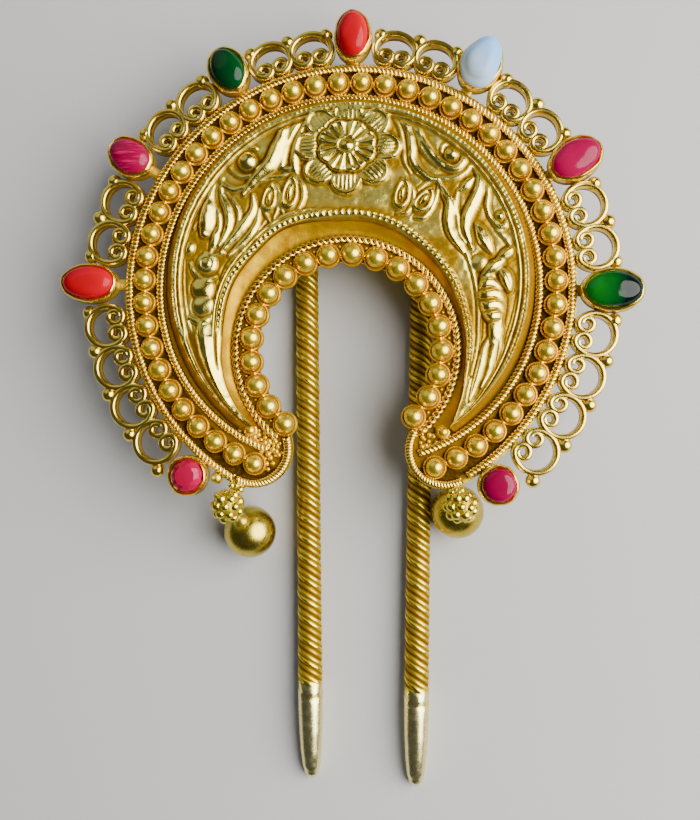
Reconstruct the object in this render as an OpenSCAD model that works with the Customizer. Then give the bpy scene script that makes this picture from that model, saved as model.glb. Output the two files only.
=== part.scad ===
// Bridal hairpin: a crescent head with set stones on two long twisted prongs.
// It lies on its back, the head up and the prongs pointing to -Y.

/* [Head] */
// Height of the head's underside above the surface that the pin lies on
head_z = 6; // [5.9:0.05:6.4]
// Thickness of the crescent base plate
plate_t = 0.6; // [0.5:0.05:0.7]
// Outer radius of the crescent base plate
plate_r = 22.75; // [22.7:0.05:22.9]
// Radius of the round opening inside the crescent
opening_r = 8.9; // [8.6:0.1:9.1]
// How far the opening's centre lies below the ring's centre
opening_drop = 6.2; // [6.1:0.05:6.3]
// Distance of the ring's centre from the middle of the whole pin
ring_y = 11.48; // [11:0.01:12]
// Space left between pieces that are soldered or set face to face
seam = 0.02; // [0.02:0.01:0.04]

/* [Plaque] */
// Radius of the plaque's outer edge
plaque_r = 17.8; // [17.6:0.05:17.9]
// Radius of the plaque's inner edge
plaque_inner_r = 12.7; // [12.5:0.05:12.9]
// Height of the plaque's rims above the plate
rim_h = 1.45; // [1.2:0.05:1.6]
// Height of the relief above the plaque's field
relief_h = 0.75; // [0.5:0.05:0.9]

/* [Ropes] */
// Radius of the outer rope's middle
outer_rope_r = 22.14; // [22.12:0.01:22.16]
// Radius of the middle rope's middle
middle_rope_r = 19.03; // [18.95:0.01:19.05]
// Radius of the inner rope's middle, about the opening
inner_rope_r = 11.28; // [11.2:0.01:11.3]
// Thickness of one wire, two of which lie side by side in a rope
rope_wire_d = 0.4; // [0.3:0.02:0.4]

/* [Beads] */
// Number of beads in the outer row
outer_beads = 48; // [48:1:48]
// Radius of a bead in the outer row
outer_bead_r = 0.82; // [0.7:0.02:0.86]
// Radius of a cup in the outer row
outer_cup_r = 1.05; // [1.01:0.01:1.06]
// Radius of the circle that the outer row follows
outer_row_r = 20.66; // [20.62:0.01:20.68]
// Number of beads in the inner row
inner_beads = 20; // [20:1:20]
// Radius of a bead in the inner row
inner_bead_r = 0.93; // [0.8:0.01:0.95]
// Radius of a cup in the inner row
inner_cup_r = 1.16; // [1.12:0.01:1.17]
// Radius of the circle that the inner row follows
inner_row_r = 9.56; // [9.5:0.01:9.6]

/* [Border] */
// Width of the flat wire in the border's scrolls
scroll_wire = 0.36; // [0.3:0.02:0.4]
// Height of the flat wire in the border's scrolls
scroll_h = 1.4; // [1.2:0.05:1.5]
// Radius of a scroll's large arc
scroll_r = 2.08; // [2.06:0.01:2.1]
// Radius of a scroll's two small curls
curl_r = 0.72; // [0.7:0.01:0.74]
// Radius of a small ball between two scrolls
ball_r = 0.7; // [0.68:0.01:0.74]
// Height of a stone's bezel
bezel_h = 1.7; // [1.4:0.05:2]
// Thickness of a bezel's wall
bezel_wall = 0.3; // [0.25:0.01:0.35]

/* [Drops] */
// Radius of a ball drop
drop_r = 2.7; // [2.6:0.05:2.75]
// Radius of the core of a granulated cap
cap_r = 1.4; // [1.3:0.05:1.45]

/* [Prongs] */
// Radius of a prong at its upper end
prong_r_top = 1.22; // [1.15:0.01:1.3]
// Radius of a prong where its tapered tip starts
prong_r_low = 1.33; // [1.25:0.01:1.35]
// Length along which a strand goes once round a prong
twist_lead = 5.7; // [5:0.1:6.5]
// Depth of the hollows between the three strands
strand_depth = 0.13; // [0.08:0.01:0.16]
// Length of a prong's smooth tapered tip
tip_len = 9.5; // [8:0.25:11]

/* [Hidden] */

gold = "goldenrod";
top_z = head_z + plate_t;
deck_z = top_z + seam;
opening = [0, -opening_drop];

// Horn tips: centre of each round end and the radius of its rope
tip_left = [-9, -16.3];
tip_right = [10.05, -15.95];
tip_rope_r = 3.48;
tip_plate_r = 3.95;
rope_half = rope_wire_d * 0.95;

// Middle rope: an upper arc and two tighter arcs that run in to the horn tips
middle_centre = [0, 0.15];
tuck = 2.2;
tuck_angle = 15;
tuck_end = 71;
joint_angle = 0.1;

// Plaque: circles of its outer and inner edges, and the line where its horns end
plaque_centre = [0.1, 0.7];
plaque_inner_centre = [0.1, -5.3];
horn_end_y = -13.7;

// Outer row: angle of its first bead, step, and how far its ends run in
outer_first = 243.7;
outer_step = 306.3 / (outer_beads - 1);
run_in = 0.8;
run_in_from = 110;
// Inner row: angle of its first bead and its step, about the opening
inner_first = 232.3;
inner_step = 275.6 / (inner_beads - 1);
cup_h = 0.45;
link_r = 0.34;

// Border: the scrolls and stones stand 10 degrees apart, and it is flatter at the top
border_step = 10;
scroll_centre = 1.97;
curl_at = [0.85, 0.97];
border_flat = 0.2;
ball_at = 3.75;
stone_side = 6.3;

// Stones: angle, distance of the centre, half length, half width, height, sides and shape
ANGLE = 0;
DIST = 1;
HALF_L = 2;
HALF_W = 3;
RISE = 4;
SIDES = 5;
SHAPE = 6;
CUT = 0;
CABOCHON = 1;
PEARL = 2;
STONES = [
    [231.2, 24.62, 2.02, 2.02, 1.0, 8, CUT],
    [180, 26.1, 2.93, 2.0, 1.1, 24, CABOCHON],
    [150, 25.75, 2.5, 2.0, 1.0, 24, CABOCHON],
    [120, 25.1, 2.5, 2, 1.1, 24, CABOCHON],
    [90, 25.18, 2.57, 1.9, 1.2, 24, CABOCHON],
    [60, 25.5, 2.6, 2.15, 1.9, 24, PEARL],
    [30, 25.6, 2.82, 2.1, 1.0, 24, CABOCHON],
    [0, 25.95, 3.08, 2.15, 1.1, 24, CABOCHON],
    [308.6, 24.62, 2.02, 2.02, 0.9, 8, CUT]
];
// Levels of a stone from its seat to its crown: share of the outline, share of the rise
CUT_LEVELS = [[0.97, 0], [1, 0.3], [0.66, 1]];
CABOCHON_LEVELS = [[0.97, 0], [1, 0.25], [0.9, 0.6], [0.66, 0.86], [0.3, 0.985]];
PEARL_LEVELS = [[0.93, 0], [1.12, 0.4], [1.06, 0.66], [0.78, 0.88], [0.36, 0.99]];

// Drops: place of each cap and ball in the head's frame, and the neck's thickness
cap_left_at = [-11.35, -22.1];
cap_right_at = [11.75, -21.4];
ball_left_at = [-9.85, -25];
ball_right_at = [11.6, -22.3];
cap_z = 7.25;
granule_r = 0.42;
neck_r = 0.75;
neck_gap = 0.15;
stem_r = 0.4;

// Prongs: where the axis passes over its upper end and its point
prong_left_top = [-4.95, 7];
prong_left_point = [-2.9, -50.4];
prong_right_top = [7.33, 7];
prong_right_point = [7.95, -50.7];
ring_pitch = 0.71;
prong_sides = 12;
yoke_bend = 2.1;
yoke_r = 1.1;
yoke_gap = 0.07;
yoke_bar = [16.4, 3.4, 1.1];

function polar(r, a) = [r * cos(a), r * sin(a)];
function unit(v) = v / norm(v);

// Distance along a ray from p at angle a to the circle (c, r) around p
function reach(p, a, c, r) =
    let (u = polar(1, a), d = p - c, b = u * d)
    -b + sqrt(b * b - d * d + r * r);

module on_head() translate([0, ring_y, 0]) children();

// Closed surface from rings of points, each ring with the same number of points
module skin(rings) {
    n = len(rings[0]);
    m = len(rings);
    points = [for (ring = rings) for (p = ring) p];
    sides = [for (i = [0:m - 2]) for (j = [0:n - 1]) let (k = (j + 1) % n)
        for (t = [[i * n + j, i * n + n + k, i * n + k], [i * n + j, i * n + n + j, i * n + n + k]]) t];
    ends = [[for (j = [0:n - 1]) j], [for (j = [n - 1:-1:0]) (m - 1) * n + j]];
    polyhedron(points, concat(sides, ends));
}

// Two wires side by side along an arc
module rope_arc(centre, r, from, to) {
    translate([centre.x, centre.y, deck_z + rope_wire_d / 2])
        rotate([0, 0, from])
        rotate_extrude(angle = to - from, $fn = 180)
        for (side = [-1, 1]) translate([r + side * rope_wire_d * 0.45, 0]) circle(d = rope_wire_d, $fn = 24);
}

module tip_disc(r) for (tip = [tip_left, tip_right]) translate(tip) circle(r, $fn = 96);

module crescent_2d() {
    difference() {
        union() {
            difference() {
                circle(plate_r, $fn = 240);
                polygon([opening, tip_left, tip_left * 2, [0, -60], tip_right * 2, tip_right]);
            }
            tip_disc(tip_plate_r);
        }
        translate(opening) circle(opening_r, $fn = 160);
    }
}

// Small granule on the plate's edge beside the first stone
granule_at = polar(plate_r + 0.4, 236.8);

module crescent_plate() {
    color(gold) on_head() {
        translate([0, 0, head_z]) linear_extrude(plate_t) crescent_2d();
        translate([granule_at.x, granule_at.y, head_z + 0.6]) sphere(0.6, $fn = 48);
    }
}

module outer_rope()
    color(gold) on_head() rope_arc([0, 0], outer_rope_r, -55.5, 238.8);

module middle_rope()
    color(gold) on_head() rope_arc(middle_centre, middle_rope_r, -tuck_angle, 180 + tuck_angle);

// The tighter arc at one end of the middle rope: side is -1 for the left and 1 for the right
module rope_tuck(side) {
    centre = middle_centre + [side * tuck * cos(tuck_angle), -tuck * sin(tuck_angle)];
    from = side < 0 ? 180 + tuck_angle + joint_angle : -tuck_end;
    to = side < 0 ? 180 + tuck_end + joint_angle : -tuck_angle - joint_angle;
    color(gold) on_head() rope_arc(centre, middle_rope_r - tuck, from, to);
}
module middle_rope_left() rope_tuck(-1);
module middle_rope_right() rope_tuck(1);

module inner_rope()
    color(gold) on_head() rope_arc(opening, inner_rope_r, -43, 226);

module tip_rope_left()
    color(gold) on_head() rope_arc(tip_left, tip_rope_r, -116, 15);

module tip_rope_right()
    color(gold) on_head() rope_arc(tip_right, tip_rope_r, 156, 300);

// One bead in its cup, turned in one piece
module bead_in_cup(bead_r, cup_r) {
    rotate_extrude($fn = 48) intersection() {
        union() {
            square([cup_r, cup_h]);
            translate([0, cup_h + bead_r * 0.35]) circle(bead_r, $fn = 48);
        }
        square([cup_r * 2, cup_h + bead_r * 2]);
    }
}

function outer_angle(i) = outer_first - i * outer_step;
function outer_place(i) =
    let (a = outer_angle(i), over = max(0, abs(a - 90) - run_in_from) / (180 - run_in_from - 26))
    polar(outer_row_r - run_in * over * over, a);
function inner_place(i) = opening + polar(inner_row_r, inner_first - i * inner_step);

// A run of beads, with a small link between neighbouring cups
module bead_row(places, bead_r, cup_r) {
    for (i = [0:len(places) - 1]) {
        translate([places[i].x, places[i].y, deck_z]) bead_in_cup(bead_r, cup_r);
        if (i > 0) {
            middle = (places[i] + places[i - 1]) / 2;
            translate([middle.x, middle.y, deck_z]) cylinder(r = link_r, h = cup_h * 0.8, $fn = 24);
        }
    }
}

module outer_beads_left()
    color(gold) on_head()
        bead_row([for (i = [0:outer_beads / 2 - 1]) outer_place(i)], outer_bead_r, outer_cup_r);

module outer_beads_right()
    color(gold) on_head()
        bead_row([for (i = [outer_beads / 2:outer_beads - 1]) outer_place(i)], outer_bead_r, outer_cup_r);

module inner_beads()
    color(gold) on_head()
        bead_row([for (i = [0:inner_beads - 1]) inner_place(i)], inner_bead_r, inner_cup_r);

// The smooth hollow band that rises from the inner rope to the plaque's edge
band_inner_r = inner_rope_r + rope_half + 0.05;
band_from = -40;
band_to = 222;
band_steps = 60;
band_rows = 5;
function band_point(a, t, z) =
    let (r0 = band_inner_r, r1 = reach(opening, a, plaque_inner_centre, plaque_inner_r) - seam,
        p = opening + polar(r0 + (r1 - r0) * t, a))
    [p.x, p.y, z];
function band_section(a) = concat(
    [for (k = [0:band_rows]) let (t = k / band_rows)
        band_point(a, sin(90 * t), deck_z + 0.2 + (rim_h - 0.3) * (1 - cos(90 * t)))],
    [band_point(a, 1, deck_z), band_point(a, 0, deck_z)]);

module cavetto_band()
    color(gold) on_head()
        skin([for (i = [0:band_steps]) band_section(band_from + (band_to - band_from) * i / band_steps)]);

// The plaque's field is a low dome between its two rims
dome_h = 0.35;
plaque_steps = 64;
function field_z(p) =
    let (inward = norm(p - plaque_inner_centre) - plaque_inner_r, outward = plaque_r - norm(p - plaque_centre),
        share = inward / max(0.01, inward + outward))
    deck_z + rim_h - 0.35 + dome_h * sin(180 * min(1, max(0, share)));
function plaque_span(a) = let (
    r0 = reach(opening, a, plaque_inner_centre, plaque_inner_r),
    r1 = reach(opening, a, plaque_centre, plaque_r)) [r0, r1];
function plaque_point(a, t, z) =
    let (span = plaque_span(a), p = opening + polar(span[0] + (span[1] - span[0]) * t, a))
    [p.x, p.y, z < 0 ? field_z(p) - z - 1 : z];
// Across the plaque: share of the width, and height above the field plus one, as a negative
function plaque_section(a) = concat(
    [plaque_point(a, 0, deck_z + rim_h), plaque_point(a, 0.07, deck_z + rim_h)],
    [for (t = [0.12, 0.3, 0.5, 0.7, 0.88]) plaque_point(a, t, -1)],
    [plaque_point(a, 0.92, deck_z + rim_h - 0.15), plaque_point(a, 1, deck_z + rim_h - 0.35)],
    [plaque_point(a, 1, deck_z), plaque_point(a, 0, deck_z)]);
horn_left_a = 221.5;
horn_right_a = -41;

module plaque_field()
    skin([for (i = [0:plaque_steps]) plaque_section(horn_right_a + (horn_left_a - horn_right_a) * i / plaque_steps)]);

// A raised leaf on a bent spine from a to b, w across at its belly and h high
leaf_rings = 7;
function leaf_spine(a, b, bend, t) =
    let (d = b - a, side = [-d.y, d.x])
    a + d * t + side * bend * 4 * t * (1 - t);
function leaf_ring(a, b, bend, w, h, belly, t) =
    let (p = leaf_spine(a, b, bend, t),
        q = unit(leaf_spine(a, b, bend, t + 0.01) - leaf_spine(a, b, bend, t - 0.01)),
        n = [-q.y, q.x],
        s = sin(180 * pow(t, belly)) * 0.94 + 0.06,
        z = field_z(p))
    [for (c = [[-1, -0.5], [-0.62, 0.72 * s], [0, s], [0.62, 0.72 * s], [1, -0.5]])
        let (e = p + n * (w / 2 * s * c[0]))
        [e.x, e.y, z + (c[1] < 0 ? c[1] : c[1] * h)]];
module leaf(a, b, bend, w, h = relief_h, belly = 0.8)
    skin([for (k = [leaf_rings:-1:0]) leaf_ring(a, b, bend, w, h, belly, k / leaf_rings)]);

// A bud or petal: a low egg between two round ends, with fewer sides if it is small
small_bud = 0.6;
module bud(a, b, r0, r1, h = relief_h) {
    hull() for (e = [[a, r0], [b, r1]])
        translate([e[0].x, e[0].y, field_z(e[0])]) scale([1, 1, h / e[1]]) sphere(e[1], $fn = e[1] < small_bud ? 8 : 10);
}

// A scroll that winds in to its middle, made of short overlapping buds
module volute(centre, r, from, turn, w) {
    steps = 9;
    for (i = [0:steps - 1]) {
        a = from + turn * i / steps;
        b = from + turn * (i + 1) / steps;
        bud(centre + polar(r * (1 - 0.72 * i / steps), a), centre + polar(r * (1 - 0.72 * (i + 1) / steps), b),
            w * (1 - 0.4 * i / steps), w * (1 - 0.4 * (i + 1) / steps));
    }
}

rosette_at = [0, 13.9];
module rosette() {
    petals = 8;
    z = field_z(rosette_at);
    for (i = [0:petals - 1]) {
        a = 360 / petals * (i + 0.5);
        bud(rosette_at + polar(3.2, a), rosette_at + polar(3.95, a), 1.25, 1.3, relief_h * 1.1);
    }
    translate([rosette_at.x, rosette_at.y, z - 0.3]) cylinder(r1 = 3, r2 = 2.7, h = 0.95, $fn = 32);
    for (i = [0:13]) {
        a = 360 / 14 * i;
        bud(rosette_at + polar(1.1, a), rosette_at + polar(2.3, a), 0.2, 0.36, relief_h * 1.5);
    }
    translate([rosette_at.x, rosette_at.y, z + 0.85]) sphere(0.72, $fn = 16);
}

// Leaves of the relief: start, end, bend, width. The left side first, then the right
LEFT_LEAVES = [
    [[-3.6, 17.2], [-10.3, 10.2], -0.16, 1.5],
    [[-5, 16.4], [-8.8, 8.4], -0.2, 1.4],
    [[-6.2, 15.2], [-11.6, 7.6], -0.12, 1.2],
    [[-11.2, 8.3], [-13.6, 3.6], -0.22, 1.3],
    [[-12.6, 9.4], [-14, 4.2], 0.2, 1.5],
    [[-14.4, 9.2], [-14.9, 5.2], 0.1, 1.6],
    [[-9.8, 8.8], [-11.6, 4.6], -0.16, 1.2],
    [[-16.4, 5.8], [-16, 2], 0.12, 1],
    [[-15.9, 1.4], [-14.4, -1.4], 0.1, 0.8],
    [[-13.9, -1.6], [-14.7, -4.2], 0.05, 1.8],
    [[-14.5, -4.2], [-10.5, -13.2], -0.11, 1.9],
    [[-16.3, -2.2], [-12.6, -11.3], -0.1, 0.8]
];
RIGHT_LEAVES = [
    [[3.6, 17.2], [9.6, 9.9], 0.2, 1.5],
    [[5.4, 16.4], [7.2, 9.4], 0.2, 1.3],
    [[8.4, 15.4], [7.6, 11.2], 0.2, 1.1],
    [[12.4, 12.4], [15.4, 7.6], 0.08, 1.2],
    [[10, 10], [10.4, 4.9], -0.08, 1.6],
    [[12.9, 9.6], [12.6, 3.9], 0.2, 1.6],
    [[13.3, 6.6], [14.6, 3.9], 0.05, 1.3],
    [[14.4, 9.8], [15, 6.4], 0.2, 1],
    [[14.6, -5.2], [11.6, -11], 0.08, 1.1],
    [[15.6, -4.4], [10.9, -12.6], 0.12, 1],
    [[16.6, -2.2], [11.6, -12], 0.12, 0.9]
];
// Buds of the relief: the two ends and their radii
BUDS = [
    [[-6, 9.9], [-5.8, 8.9], 0.75, 0.5],
    [[-7.8, 9.4], [-7.9, 8.2], 0.75, 0.5],
    [[5.2, 9.9], [5, 9], 0.75, 0.5],
    [[7.5, 9.1], [7.3, 8.1], 0.8, 0.5],
    [[-14.4, 2.2], [-14.4, 2.1], 0.95, 0.95],
    [[-14.7, -0.6], [-14.6, -1.2], 0.8, 0.6],
    [[-15, -3.4], [-14.8, -3.9], 0.9, 0.8],
    [[12.8, 2.4], [12.9, 2.2], 1, 1],
    [[15.6, 3.3], [16.1, 3.6], 0.55, 0.6],
    [[15.6, 1.2], [16.1, 0.7], 0.55, 0.6],
    [[14.6, 2.5], [14.8, 2], 0.7, 0.7],
    [[14.3, -0.4], [14.9, -2.6], 1.3, 0.9],
    [[15.2, -4.2], [15, -4.8], 0.85, 0.6]
];

module plaque() {
    color(gold) on_head() difference() {
        union() {
            plaque_field();
            rosette();
            volute([-10.1, 12.5], 2.1, 250, 430, 0.55);
            volute([9.9, 13.1], 2.1, -100, -430, 0.55);
            for (row = concat(LEFT_LEAVES, RIGHT_LEAVES)) leaf(row[0], row[1], row[2], row[3]);
            for (row = BUDS) bud(row[0], row[1], row[2], row[3]);
        }
        translate([-30, -30, 0]) cube([60, 30 + horn_end_y, 30]);
    }
}

// Border of scrolls. In a scroll's own frame X runs along the edge and Y points out
function flat(a) = 1 - border_flat * pow(max(0, sin(a)), 2);
function oval(c, rx, ry, f, n = 20) =
    [for (i = [0:n - 1]) [c.x + rx * cos(360 * i / n), (c.y + ry * sin(360 * i / n)) * f]];
arc_gap = 50;
arc_steps = 24;
function arc_points(r, f) =
    [for (i = [0:arc_steps]) let (a = -arc_gap + (180 + 2 * arc_gap) * i / arc_steps)
        [r * cos(a), (scroll_centre + r * sin(a)) * f]];

module scroll_2d(f) {
    half = scroll_wire / 2;
    outside = arc_points(scroll_r + half, f);
    inside = arc_points(scroll_r - half, f);
    polygon(concat(outside, [for (i = [arc_steps:-1:0]) inside[i]]));
    for (side = [-1, 1]) difference() {
        c = [side * curl_at.x, curl_at.y];
        polygon(oval(c, curl_r + half, curl_r + half, f));
        polygon(oval(c, curl_r - half, curl_r - half, f));
    }
}

module filigree(first, count, ball_angles) {
    color(gold) on_head() {
        translate([0, 0, head_z]) linear_extrude(scroll_h)
            for (i = [0:count - 1]) {
                a = first + border_step * i;
                rotate(a - 90) translate([0, plate_r + seam]) scroll_2d(flat(a));
            }
        for (a = ball_angles)
            rotate(a) translate([plate_r + ball_at * flat(a), 0, head_z + scroll_h / 2])
                sphere(ball_r, $fn = 48);
    }
}
// The balls of a run: one beside each end stone and one between each two scrolls
function run_balls(first, count) = concat(
    [first - border_step + stone_side],
    count > 1 ? [for (i = [0:count - 2]) first + border_step * (i + 0.5)] : [],
    [first + border_step * count - stone_side]);

module filigree_1() filigree(190, 4, concat([180 + stone_side], [195, 205, 215, 225]));
module filigree_2() filigree(160, 2, run_balls(160, 2));
module filigree_3() filigree(130, 2, run_balls(130, 2));
module filigree_4() filigree(100, 2, run_balls(100, 2));
module filigree_5() filigree(70, 2, run_balls(70, 2));
module filigree_6() filigree(40, 2, run_balls(40, 2));
module filigree_7() filigree(10, 2, run_balls(10, 2));
module filigree_8() filigree(-40, 4, concat([-45, -35, -25, -15], [-stone_side]));

// A bezel's own frame: X points out from the ring, Y along the edge
module at_stone(s)
    on_head() rotate([0, 0, s[ANGLE]]) translate([s[DIST], 0, deck_z]) children();

bezel_floor = 0.4;
module bezel(i) {
    s = STONES[i - 1];
    foot = s[DIST] - s[HALF_L] * 0.9 - (plate_r - 0.2);
    color(gold) at_stone(s) {
        difference() {
            linear_extrude(bezel_h) polygon(oval([0, 0], s[HALF_L], s[HALF_W], 1, 32));
            translate([0, 0, bezel_floor]) linear_extrude(bezel_h)
                polygon(oval([0, 0], s[HALF_L] - bezel_wall, s[HALF_W] - bezel_wall, 1, 32));
        }
        if (foot > 0.1)
            translate([plate_r - 0.2 - s[DIST], -0.6, 0]) cube([foot, 1.2, bezel_floor]);
    }
}

module stone(i, tint) {
    s = STONES[i - 1];
    inset = bezel_wall + seam;
    levels = s[SHAPE] == CUT ? CUT_LEVELS : s[SHAPE] == PEARL ? PEARL_LEVELS : CABOCHON_LEVELS;
    seat = bezel_floor + seam;
    base = bezel_h - 0.25 - bezel_floor;
    rings = concat(
        [oval([0, 0], (s[HALF_L] - inset) * 0.9, (s[HALF_W] - inset) * 0.9, 1, s[SIDES])],
        [for (v = levels) oval([0, 0], (s[HALF_L] - inset) * v[0], (s[HALF_W] - inset) * v[0], 1, s[SIDES])]);
    heights = concat([seat], [for (v = levels) seat + base + s[RISE] * v[1]]);
    color(tint) at_stone(s)
        skin([for (k = [len(rings) - 1:-1:0]) [for (p = rings[k]) [p.x, p.y, heights[k]]]]);
}

module bezel_1() bezel(1);
module bezel_2() bezel(2);
module bezel_3() bezel(3);
module bezel_4() bezel(4);
module bezel_5() bezel(5);
module bezel_6() bezel(6);
module bezel_7() bezel(7);
module bezel_8() bezel(8);
module bezel_9() bezel(9);
module stone_1() stone(1, "crimson");
module stone_2() stone(2, "red");
module stone_3() stone(3, "mediumvioletred");
module stone_4() stone(4, "darkgreen");
module stone_5() stone(5, "red");
module stone_6() stone(6, "lavender");
module stone_7() stone(7, "mediumvioletred");
module stone_8() stone(8, "green");
module stone_9() stone(9, "mediumvioletred");

// A cap set with granules, on a short neck that reaches the horn's edge
module cap(at, tip) {
    granules = 7;
    away = unit(at - tip);
    from = tip + away * (tip_plate_r + neck_gap);
    long = norm(at - from);
    color(gold) on_head() {
        translate([at.x, at.y, cap_z]) {
            sphere(cap_r, $fn = 48);
            for (row = [[-22, 0], [26, 0.5]]) for (i = [0:granules - 1]) {
                p = polar(cap_r * cos(row[0]), 360 / granules * (i + row[1]));
                translate([p.x, p.y, cap_r * sin(row[0])]) sphere(granule_r, $fn = 32);
            }
            translate([0, 0, cap_r]) sphere(granule_r, $fn = 32);
        }
        translate([from.x, from.y, head_z + neck_r])
            rotate([0, 90, atan2(away.y, away.x)]) cylinder(r = neck_r, h = long, $fn = 48);
    }
}
module cap_left() cap(cap_left_at, tip_left);
module cap_right() cap(cap_right_at, tip_right);

// A hollow-looking ball drop with a stem that points to its cap
module drop(ball_at, cap_at) {
    axis = [cap_at.x - ball_at.x, cap_at.y - ball_at.y, cap_z - drop_r];
    stem_l = norm(axis) - cap_r - granule_r - 0.05;
    color(gold) on_head() translate([ball_at.x, ball_at.y, drop_r]) {
        sphere(drop_r, $fn = 72);
        rotate([0, acos(axis.z / norm(axis)), atan2(axis.y, axis.x)])
            cylinder(r = stem_r, h = max(stem_l, drop_r + 0.05), $fn = 32);
    }
}
module drop_left() drop(ball_left_at, cap_left_at);
module drop_right() drop(ball_right_at, cap_right_at);

// A prong lies along the floor. Three strands wind round it, then it tapers to its point
function strand(r, phi, depth) = r - depth * (0.5 - 0.5 * cos(3 * phi));
module prong(top, point) {
    d = point - top;
    long = norm(d);
    twist_l = long - tip_len;
    n = round(twist_l / ring_pitch);
    tips = [[0.25, 0.99], [0.5, 0.93], [0.72, 0.84], [0.87, 0.73], [0.95, 0.6], [1, 0.34]];
    turned = [for (i = [0:n]) let (s = twist_l * i / n)
        [s, prong_r_top + (prong_r_low - prong_r_top) * s / twist_l, strand_depth * min(1, (twist_l - s) / 1.5)]];
    plain = [for (v = tips) [twist_l + tip_len * v[0], prong_r_low * v[1], 0]];
    color(gold) on_head() translate([top.x, top.y, 0]) rotate([0, 0, atan2(d.y, d.x)])
        skin([for (v = concat(turned, plain)) [for (j = [0:prong_sides - 1])
            let (phi = -360 * j / prong_sides, r = strand(v[1], phi - 360 * v[0] / twist_lead, v[2]))
            [v[0], r * sin(phi), v[1] + r * cos(phi)]]]);
}
module prong_left() prong(prong_left_top, prong_left_point);
module prong_right() prong(prong_right_top, prong_right_point);

// Hidden yoke: each prong turns up behind the head and meets a bar on the plate's back
module prong_yoke() {
    bar_z = head_z - seam - yoke_bar.z;
    color(gold) on_head() {
        for (top = [prong_left_top, prong_right_top]) {
            translate([top.x, top.y + yoke_gap, prong_r_top + yoke_bend])
                rotate([0, 90, 0]) rotate_extrude(angle = 90, $fn = 96)
                translate([yoke_bend, 0]) circle(yoke_r, $fn = 48);
            translate([top.x, top.y + yoke_gap + yoke_bend, prong_r_top + yoke_bend])
                cylinder(r = yoke_r, h = bar_z + 0.2 - prong_r_top - yoke_bend, $fn = 48);
        }
        translate([(prong_left_top.x + prong_right_top.x - yoke_bar.x) / 2,
            prong_left_top.y + yoke_bend - yoke_bar.y / 2, bar_z]) cube(yoke_bar);
    }
}

crescent_plate();
plaque();
cavetto_band();
outer_rope();
middle_rope();
middle_rope_left();
middle_rope_right();
inner_rope();
tip_rope_left();
tip_rope_right();
outer_beads_left();
outer_beads_right();
inner_beads();
filigree_1();
filigree_2();
filigree_3();
filigree_4();
filigree_5();
filigree_6();
filigree_7();
filigree_8();
bezel_1();
bezel_2();
bezel_3();
bezel_4();
bezel_5();
bezel_6();
bezel_7();
bezel_8();
bezel_9();
stone_1();
stone_2();
stone_3();
stone_4();
stone_5();
stone_6();
stone_7();
stone_8();
stone_9();
cap_left();
cap_right();
drop_left();
drop_right();
prong_left();
prong_right();
prong_yoke();
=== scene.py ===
import math

import bpy
import numpy as np
from bpy.props import FloatProperty, FloatVectorProperty, PointerProperty
from mathutils import Euler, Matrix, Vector


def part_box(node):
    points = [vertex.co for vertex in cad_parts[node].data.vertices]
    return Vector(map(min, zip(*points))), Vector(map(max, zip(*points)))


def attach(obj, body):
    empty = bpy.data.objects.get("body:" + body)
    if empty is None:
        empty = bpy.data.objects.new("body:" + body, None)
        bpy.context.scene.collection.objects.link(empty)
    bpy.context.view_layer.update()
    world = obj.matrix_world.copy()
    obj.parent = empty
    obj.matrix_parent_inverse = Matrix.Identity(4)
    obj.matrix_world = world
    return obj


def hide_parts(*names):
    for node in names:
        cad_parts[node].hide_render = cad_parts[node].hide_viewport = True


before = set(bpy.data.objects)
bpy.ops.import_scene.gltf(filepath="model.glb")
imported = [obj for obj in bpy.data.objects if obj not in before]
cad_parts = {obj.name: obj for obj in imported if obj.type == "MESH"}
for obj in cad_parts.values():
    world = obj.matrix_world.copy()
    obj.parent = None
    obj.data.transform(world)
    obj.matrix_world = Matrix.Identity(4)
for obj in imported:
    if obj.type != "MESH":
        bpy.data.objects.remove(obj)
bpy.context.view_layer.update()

bl_info = {
    "name": "Bridal Hairpin",
    "version": (1, 0, 0),
    "blender": (4, 5, 0),
    "location": "View3D > Sidebar > Hairpin",
    "description": "Dresses the crescent hairpin with its goldwork, relief, beads and stones",
    "category": "Object",
}

MM = 0.001

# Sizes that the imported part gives, in millimetres
PLATE_R = 22.75
HEAD_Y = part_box("crescent_plate")[1].y / MM - PLATE_R
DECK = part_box("outer_rope")[0].z / MM
PLATE_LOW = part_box("crescent_plate")[0].z / MM

# Circles of the head: centre and radius, in the head's own frame
OPENING = ((0.0, -6.2), 8.9)
PLAQUE_OUTER = ((0.1, 0.7), 17.8)
PLAQUE_INNER = ((0.1, -5.3), 12.7)
MIDDLE_ROPE = ((0.0, 0.15), 19.03)
INNER_ROPE = ((0.0, -6.2), 11.14)
TIP_LEFT = ((-9.0, -16.3), 3.48)
TIP_RIGHT = ((10.05, -15.95), 3.48)
RIM_H = 1.45


# Meshes

class Form:
    """Points in millimetres in the head's frame, and the faces between them.

    Each point has a hollow value: up to 1 where patina and painted shade lie deep in a hollow, and below 0
    where a crest gets a painted highlight.
    """

    def __init__(self):
        self.points, self.faces, self.hollow, self.count = [], [], [], 0

    def add(self, shape, hollow=0.0):
        points, faces = shape
        points = np.asarray(points, float).reshape(-1, 3)
        self.faces += [np.asarray(f, int) + self.count for f in faces]
        self.points.append(points)
        self.hollow.append(np.broadcast_to(np.asarray(hollow, float).ravel(), (len(points),)))
        self.count += len(points)
        return self


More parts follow.
